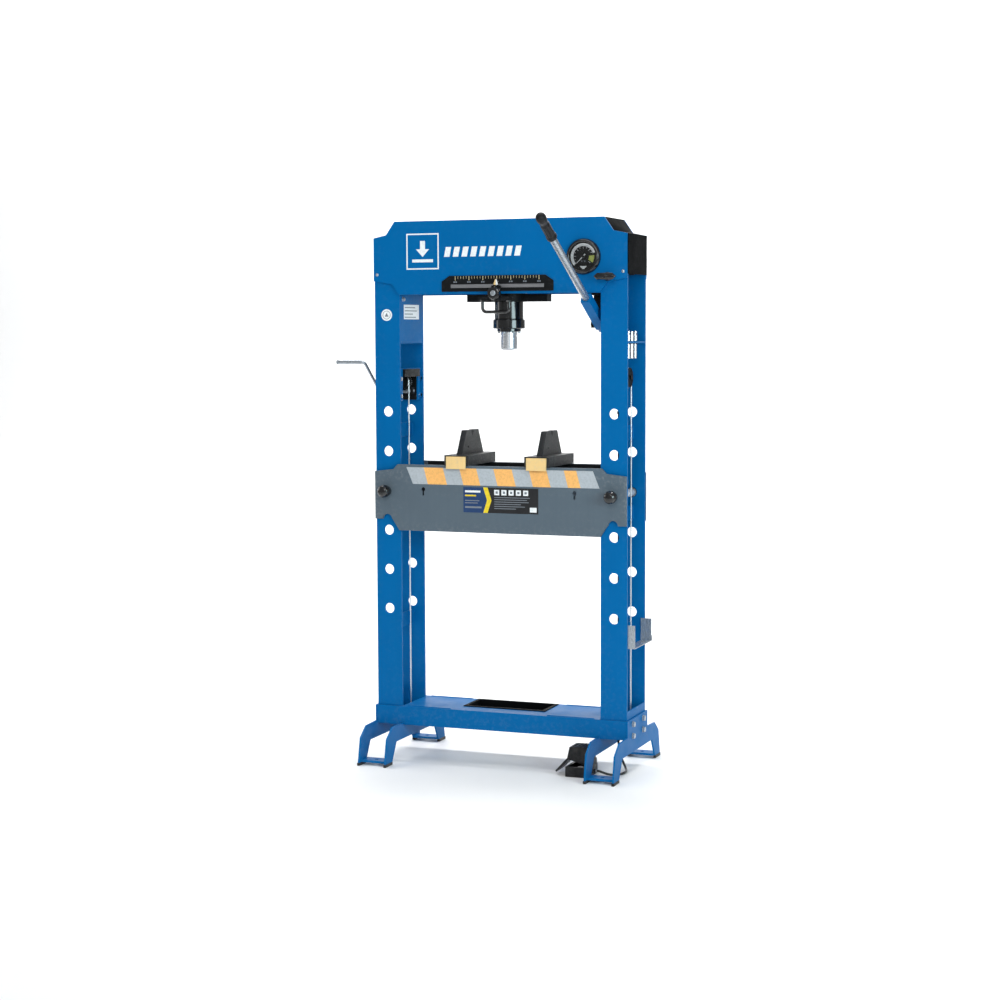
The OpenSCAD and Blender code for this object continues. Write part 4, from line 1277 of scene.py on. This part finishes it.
class PRESS_OT_winch(bpy.types.Operator):
    """Makes the bed winch: housing, drum with worm wheel, crank and worm"""

    bl_idname = "press.winch"
    bl_label = "Winch"

    def wheel(self, shape, centre, teeth=24):
        """Worm wheel: a toothed ring, each tooth four points (turn, radius)."""
        tooth = np.array([(0.32, 21.4), (0.13, 25.6), (-0.13, 25.6), (-0.32, 21.4)])
        angle = (np.arange(teeth)[:, None] + 0.5 - tooth[:, 0]) * TAU / teeth
        angle = angle.ravel()
        radius = np.tile(tooth[:, 1], teeth)[:, None]
        way = np.stack([np.cos(angle), 0 * angle, -np.sin(angle)], -1)
        inner, outer = centre + 13.9 * way, centre + radius * way
        near, far = 48 * Y, 58 * Y
        rings = [inner + near, outer + near, outer + far, inner + far]
        shape.skin(np.stack(rings), 1, loop=True)

    def turns(self, shape, centre):
        """Rope turns on the drum: rings of round section."""
        radius = 21.6
        out = np.insert(circle(96), 1, 0, axis=1)
        for y in (-45.5, -51, 29.5, 24, 18.5):
            ring = 2.5 * circle(12)
            path = centre + radius * out + y * Y
            shape.skin(path[:, None] + ring[:, :1] * out[:, None] + ring[:, 1:] * Y, 2,
                       loop=True)

    def worm(self, shape, x, y, z):
        """One-start worm: a tooth's section carried round a helix, tapered at both
        ends over a quarter turn."""
        coils, root = 6, 4.0
        angle = np.linspace(0, coils * TAU, coils * 28)
        taper = np.clip(np.minimum(angle, coils * TAU - angle) / (TAU / 4), 0.05, 1)
        out = np.stack([0 * angle, np.cos(angle), np.sin(angle)], -1)
        along = x + TAU * (angle / TAU - coils / 2 - 0.25)
        base = along[:, None] * X + y * Y + z * Z
        tooth = np.array([(1.9, root), (0.6, 9.4), (-0.6, 9.4), (-1.9, root)])
        height = root + (tooth[:, 1] - root) * taper[:, None]
        shape.skin(base[:, None] + tooth[:, :1] * X + height[..., None] * out[:, None],
                   1)

    def execute(self, context):
        dress("winch_housing", "black", bevel=1.0)
        centre = DRUM
        drum = Shape().turn([
            (6.05, -55.8), (28, -55.8), (29, -55), (29, -54.4), (28, -53.8),
            (18.9, -53.8), (18.9, -34), (29, -34), (29, -32), (18.9, -32), (18.9, 13),
            (29, 13), (29, 15), (18.9, 15), (18.9, 39), (28, 39), (29, 40), (28, 41),
            (14, 41), (14, 47.8), (14, 58.2), (14, 62), (6.05, 62),
        ], centre, Y, 72, loop=True)
        self.wheel(drum, centre)
        self.turns(drum, centre)
        drum.replace("winch_drum", "black", "zinc", "wire")

        rod, bend = 5.45, 13
        y0, z0, y1, z1 = 53, 1272, -69, 1373
        inner, arm, tip = -377, -510, -614.4
        path = bent([(inner, y0, z0), (arm, y0, z0), (arm, y1, z1), (tip, y1, z1)],
                    bend, 12)
        crank = Shape().skin(carried(path, disc(rod, 24), (0, 0.64, 0.77)))
        crank.turn([(rod, 0), (8.6, 0.3), (9, 1.2), (9, 14), (8.4, 15), (rod, 15)],
                   (-470, y0, z0), X, 40, loop=True)
        crank.turn([(3, -5), (7.4, -4.7), (8, -3.8), (8, -2.2), (rod, -2)],
                   (-610, y1, z1), X, 32)
        self.worm(crank, centre[0], y0, z0)
        crank.replace("winch_crank", "turned_x", "zinc")

        grip = Shape().turn([(5.6, 12), (6.6, 12), (7.2, 12.8), (7.5, 15), (7.5, 97),
                             (7.2, 99.4), (6.6, 100), (5.6, 100)], (arm, y1, z1), -X,
                            48, loop=True)
        grip.replace("crank_grip", "turned_x")
        return {"FINISHED"}


class PRESS_OT_rope(bpy.types.Operator):
    """Lays the stranded lifting rope over its pulleys, with the end ferrules"""

    bl_idname = "press.rope"
    bl_label = "Lifting rope"

    def strand_section(self, along, phase):
        """Rope section at each length: a circle scalloped by its strands, turned
        once in every lay."""
        rope = bpy.context.scene.press_rope
        sides = rope.strands * 4
        angle = np.arange(sides) * TAU / sides
        twist = along[:, None] * TAU / (rope.lay / MM) + phase
        lobes = np.abs(np.cos((angle - twist) * rope.strands / 2))
        radius = rope.diameter / MM / 2 * (0.8 + 0.2 * lobes)
        return radius[..., None] * circle(sides)

    def lay(self, shape, corners, up, phase=0.0):
        """Rope along runs: the runs are cut every few millimetres."""
        path = np.vstack(corners)
        step = np.linalg.norm(np.diff(path, axis=0), axis=1)
        at = np.concatenate([[0], np.cumsum(step)])
        where = np.linspace(0, at[-1], int(at[-1] / 3.4) + 2)
        path = np.stack([np.interp(where, at, path[:, i]) for i in range(3)], -1)
        shape.skin(carried(path, self.strand_section(where, phase), up))

    def arc(self, centre, radius, first, last, a, b, steps=18):
        turn = np.radians(np.linspace(first, last, steps))[:, None]
        return centre + radius * (np.cos(turn) * a + np.sin(turn) * b)

    def execute(self, context):
        rope = Shape()
        near, far, right, low = 35, -40, 423, 155
        on_drum, on_base = 22, 12
        left = DRUM[0] + on_drum
        joint = (right, near, 700)
        self.lay(rope, [
            self.arc(DRUM + near * Y, on_drum, 90, 0, X, Z),
            self.arc((left + on_base, near, low), on_base, 180, 270, X, Z),
            self.arc((right - on_base, near, low), on_base, 270, 360, X, Z),
            [joint],
        ], Y)
        self.lay(rope, [
            [joint],
            self.arc((right, 5, 1323), 30, 0, 180, Y, Z, 40),
            [(right, -25, LUG_LEVEL)],
        ], X, np.pi / 2)
        self.lay(rope, [
            self.arc(DRUM + far * Y, on_drum, 90, 0, X, Z),
            [(left, far, LUG_LEVEL)],
        ], Y)
        for x, y in ((right, -25), (left, far)):
            rope.turn([(3, 0), (5.4, 0.2), (6, 1.5), (6, 5), (4.6, 7), (4.6, 24),
                       (3.8, 28), (2.6, 29)], (x, y, LUG_LEVEL), Z, 24, 1)
        rope.replace("lift_rope", "wire", "zinc")

        dress("pulley_brackets", "black", bevel=0.7)
        for node, axis, rim, tread, width, bore in (
            ("rope_sheave", X, 33, 27, 6, 6.05),
            ("base_pulley_left", Y, 14, 9, 4.5, 4.05),
            ("base_pulley_right", Y, 14, 9, 4.5, 4.05),
        ):
            hub = bore + 3
            half = [(bore, -width), (hub, -width), (hub + 0.6, -width * 0.8),
                    ((tread + hub) / 2, -width * 0.72), (tread - 0.5, -width * 0.8),
                    (rim - 1, -width), (rim, -width * 0.9), (rim, -3.7),
                    (tread + 1.2, -2.9), (tread, -1.6)]
            other = [(radius, -height) for radius, height in half[::-1]]
            pulley = Shape().turn(half + other, middle(node), axis, 72, loop=True)
            pulley.replace(node, "black")
        return {"FINISHED"}


class PRESS_OT_bed(bpy.types.Operator):
    """Dresses the bed and makes its warning tape, label and support pins"""

    bl_idname = "press.bed"
    bl_label = "Bed"

    def tape(self, face):
        tape = Shape()
        top, low, lean = 1016, 959, 15
        tape.film([(-334, top), (-310, low), (361, low), (338, top)], face)
        for a, b in ((-270, -199), (-139, -77), (-15, 51), (112, 175), (236, 280)):
            stripe = [(a, top), (a + lean, low), (b + lean, low), (b, top)]
            tape.film(stripe, face, 1, layer=1)
        tape.build("warning_tape", "frame", "bed_grey", "tape", "orange")

    def label(self, face):
        card = Shape()
        ground, navy, yellow, white, slate = range(5)

        def box(x, z, width, height, colour, layer=1):
            card.film(rectangle(x, z, x + width, z + height), face, colour, layer)

        x0, z0, z1, fold, band, point = -124, 867, 953, -52, 16, 14
        zm = (z0 + z1) / 2
        box(x0, z0, 270, z1 - z0, ground, 0)
        card.film([(x0, z0), (fold, z0), (fold + point, zm), (fold, z1), (x0, z1)],
                  face, navy, 1)
        card.film([(fold, z1), (fold + band, z1), (fold + band + point, zm),
                   (fold + band, z0), (fold, z0), (fold + point, zm)], face, yellow, 1)
        for x in range(-12, 118, 26):
            box(x, 928, 18, 18, white)
            box(x + 5, 933, 8, 8, slate, 2)
        for i, width in enumerate((128, 118, 124, 96, 110, 78)):
            box(-12, 919 - i * 7.5, width, 2.5, slate)
        for z, width, height, colour in (
            (935, 56, 7, white), (922, 40, 5, yellow), (906, 52, 3, slate),
            (898, 46, 3, slate), (882, 60, 6, slate),
        ):
            box(-118, z, width, height, colour, 2)
        box(116, 873, 24, 16, white)
        card.build("bed_label", "frame", "bed_grey", "ink", "navy", "yellow", "white",
                   "slate")

    def execute(self, context):
        dress("bed_plates", "bed", bevel=1.2)
        dress("bed_crossmembers", "black", bevel=1.0)
        self.tape(front_of("bed_plates"))
        self.label(front_of("bed_plates"))
        for side, node in zip(SIDES, ("bed_pin_left", "bed_pin_right")):
            at = (side * 407, 0, 933)
            pin = Shape()
            pin.turn([(4, 132), (11, 132), (13, 129.5), (13, -118)], at, Y, 64)
            pin.turn([
                (12, 116.2), (16.2, 116.8), (17, 118), (17, 124), (18, 127),
                (20.6, 131), (22, 138), (22, 144), (20.8, 150.5), (17.4, 156.4),
                (12, 159.8), (5, 161), (0.6, 161.1),
            ], at, -Y, 64, 1)
            pin.replace(node, "turned_y", "gloss")
        return {"FINISHED"}


class PRESS_OT_vblocks(bpy.types.Operator):
    """Dresses the two V-blocks with their cream end faces"""

    bl_idname = "press.vblocks"
    bl_label = "V-blocks"

    def execute(self, context):
        end_plane = -127.05
        for node in ("vblock_left", "vblock_right"):
            dress(node, "iron", "cream",
                  bevel=context.scene.press_edges.casting / MM,
                  pick=lambda centre: int(centre[1] < end_plane))
        return {"FINISHED"}


class PRESS_OT_mandrels(bpy.types.Operator):
    """Makes the three pressing mandrels in their rack"""

    bl_idname = "press.mandrels"
    bl_label = "Mandrels"

    def execute(self, context):
        foot = 1386
        for node in ("mandrel_front", "mandrel_middle", "mandrel_rear"):
            at = middle(node) * (X + Y) + foot * Z
            pin = Shape().turn([
                (0.6, 0), (5.2, 0), (6.7, 2), (6.7, 57), (7.6, 57.1), (8, 58),
                (8, 78.6), (7.2, 80.6), (6.1, 81.2), (6.1, 83.6), (7.2, 84.2),
                (7.6, 85.2), (7.5, 89), (6.6, 90), (0.6, 90),
            ], at, Z, 48)
            # painted shade: a thin black ring on the shaft just under the head stands
            # in for the shaded gap between head and shaft
            pin.turn([(6.72, 48), (6.78, 48.2), (6.78, 56.6), (6.72, 56.8)], at, Z, 48,
                     1, loop=True)
            pin.replace(node, "chrome", "ink")
        return {"FINISHED"}


class PRESS_OT_air(bpy.types.Operator):
    """Makes the air line up the column and the valve's hanger"""

    bl_idname = "press.air"
    bl_label = "Air line and hanger"

    def execute(self, context):
        dress("pedal_hanger", "zinc", bevel=0.7)
        x, y, low, high = 385, 18, 122, 127
        at = (x, y, 0)
        line = Shape().turn([(0.6, high), (4, high), (4, 1661), (3, 1662)], at, Z, 24)
        line.plate([(361, 4), (399, 4), (404, 9), (404, 27), (399, 32), (361, 32)], low,
                   high, Z, 1)
        line.skin(hexagon_head((x, y, low), -Z, 14, 8), 2)
        line.turn([(5.6, 106.1), (6.2, 107), (6.2, 115), (5.6, 116)], at, Z, 32, 2)
        line.skin(hexagon_head((x, y, high), Z, 14, 8), 2)
        for z in (1650, 1200, 760, 320):
            line.turn([(4.05, 0), (6, 0.5), (6, 9.5), (4.05, 10)], (x, y, z), Z, 24, 1,
                      loop=True)
        line.replace("air_line", "hose", "black", "turned_x")
        return {"FINISHED"}


class PRESS_OT_foot_valve(bpy.types.Operator):
    """Makes the foot valve: ribbed treadle, base and hose fittings"""

    bl_idname = "press.foot_valve"
    bl_label = "Foot valve"

    def execute(self, context):
        dress("pedal_base", "plastic", bevel=1.6)
        dress("pedal_treadle", "plastic", bevel=2.4)
        ribs = Shape()

        def rib(x, z, half, radius):
            path = [(x, y, z) for y in (-127 - half, -127, -127 + half)]
            ribs.skin(carried(path, disc(radius, 12), Z))

        for z in 64 + 6.6 * np.arange(5):
            rib(264.8 + (z - 60) * 8 / 38, z, 33, 1.7)
        for x in 284 + 13 * np.arange(4):
            rib(x, 98 + (x - 272) * 2 / 60, 31, 1.6)
        ribs.build("treadle_ribs", "treadle", "pedal_black", "plastic")

        outlet = (342, -128, 16)
        ends = Shape().skin(hexagon_head(outlet, X, 13, 6))
        ends.turn([(5.2, 6), (5.6, 6.5), (5.6, 15), (5, 16)], outlet, X, 32)
        for y, way in ((-172, -Y), (-82, Y)):
            ends.turn([(4.6, 0), (4.6, 0.8), (3.6, 1.6)], (334, y, 43), way, 24)
        ends.build("valve_fittings", "frame", "zinc_steel", "zinc")
        return {"FINISHED"}


BUILD_ORDER = (
    PRESS_OT_stage, PRESS_OT_hose, PRESS_OT_frame, PRESS_OT_fasteners, PRESS_OT_marks,
    PRESS_OT_gauge, PRESS_OT_valve, PRESS_OT_head_scale, PRESS_OT_ram_head,
    PRESS_OT_cylinder, PRESS_OT_pump, PRESS_OT_winch, PRESS_OT_rope, PRESS_OT_bed,
    PRESS_OT_vblocks, PRESS_OT_mandrels, PRESS_OT_air, PRESS_OT_foot_valve,
)


class PRESS_PT_parts(bpy.types.Panel):
    """Lists the press's pieces and settings"""

    bl_idname = "PRESS_PT_parts"
    bl_label = "Hydraulic shop press"
    bl_space_type = "VIEW_3D"
    bl_region_type = "UI"
    bl_category = "Press"

    def draw(self, context):
        for operator in BUILD_ORDER:
            self.layout.operator(operator.bl_idname)
        for group in SETTINGS:
            settings = getattr(context.scene, group)
            box = self.layout.box()
            for name in settings.bl_rna.properties.keys():
                if name not in ("rna_type", "name"):
                    box.prop(settings, name)


def register():
    for group, kind in SETTINGS.items():
        bpy.utils.register_class(kind)
        setattr(bpy.types.Scene, group, PointerProperty(type=kind))
    for kind in (*BUILD_ORDER, PRESS_PT_parts):
        bpy.utils.register_class(kind)


def unregister():
    for kind in (PRESS_PT_parts, *reversed(BUILD_ORDER)):
        bpy.utils.unregister_class(kind)
    for group, kind in reversed(SETTINGS.items()):
        delattr(bpy.types.Scene, group)
        bpy.utils.unregister_class(kind)


def main():
    register()
    for operator in BUILD_ORDER:
        category, name = operator.bl_idname.split(".")
        getattr(getattr(bpy.ops, category), name)()


if __name__ == "__main__":
    main()
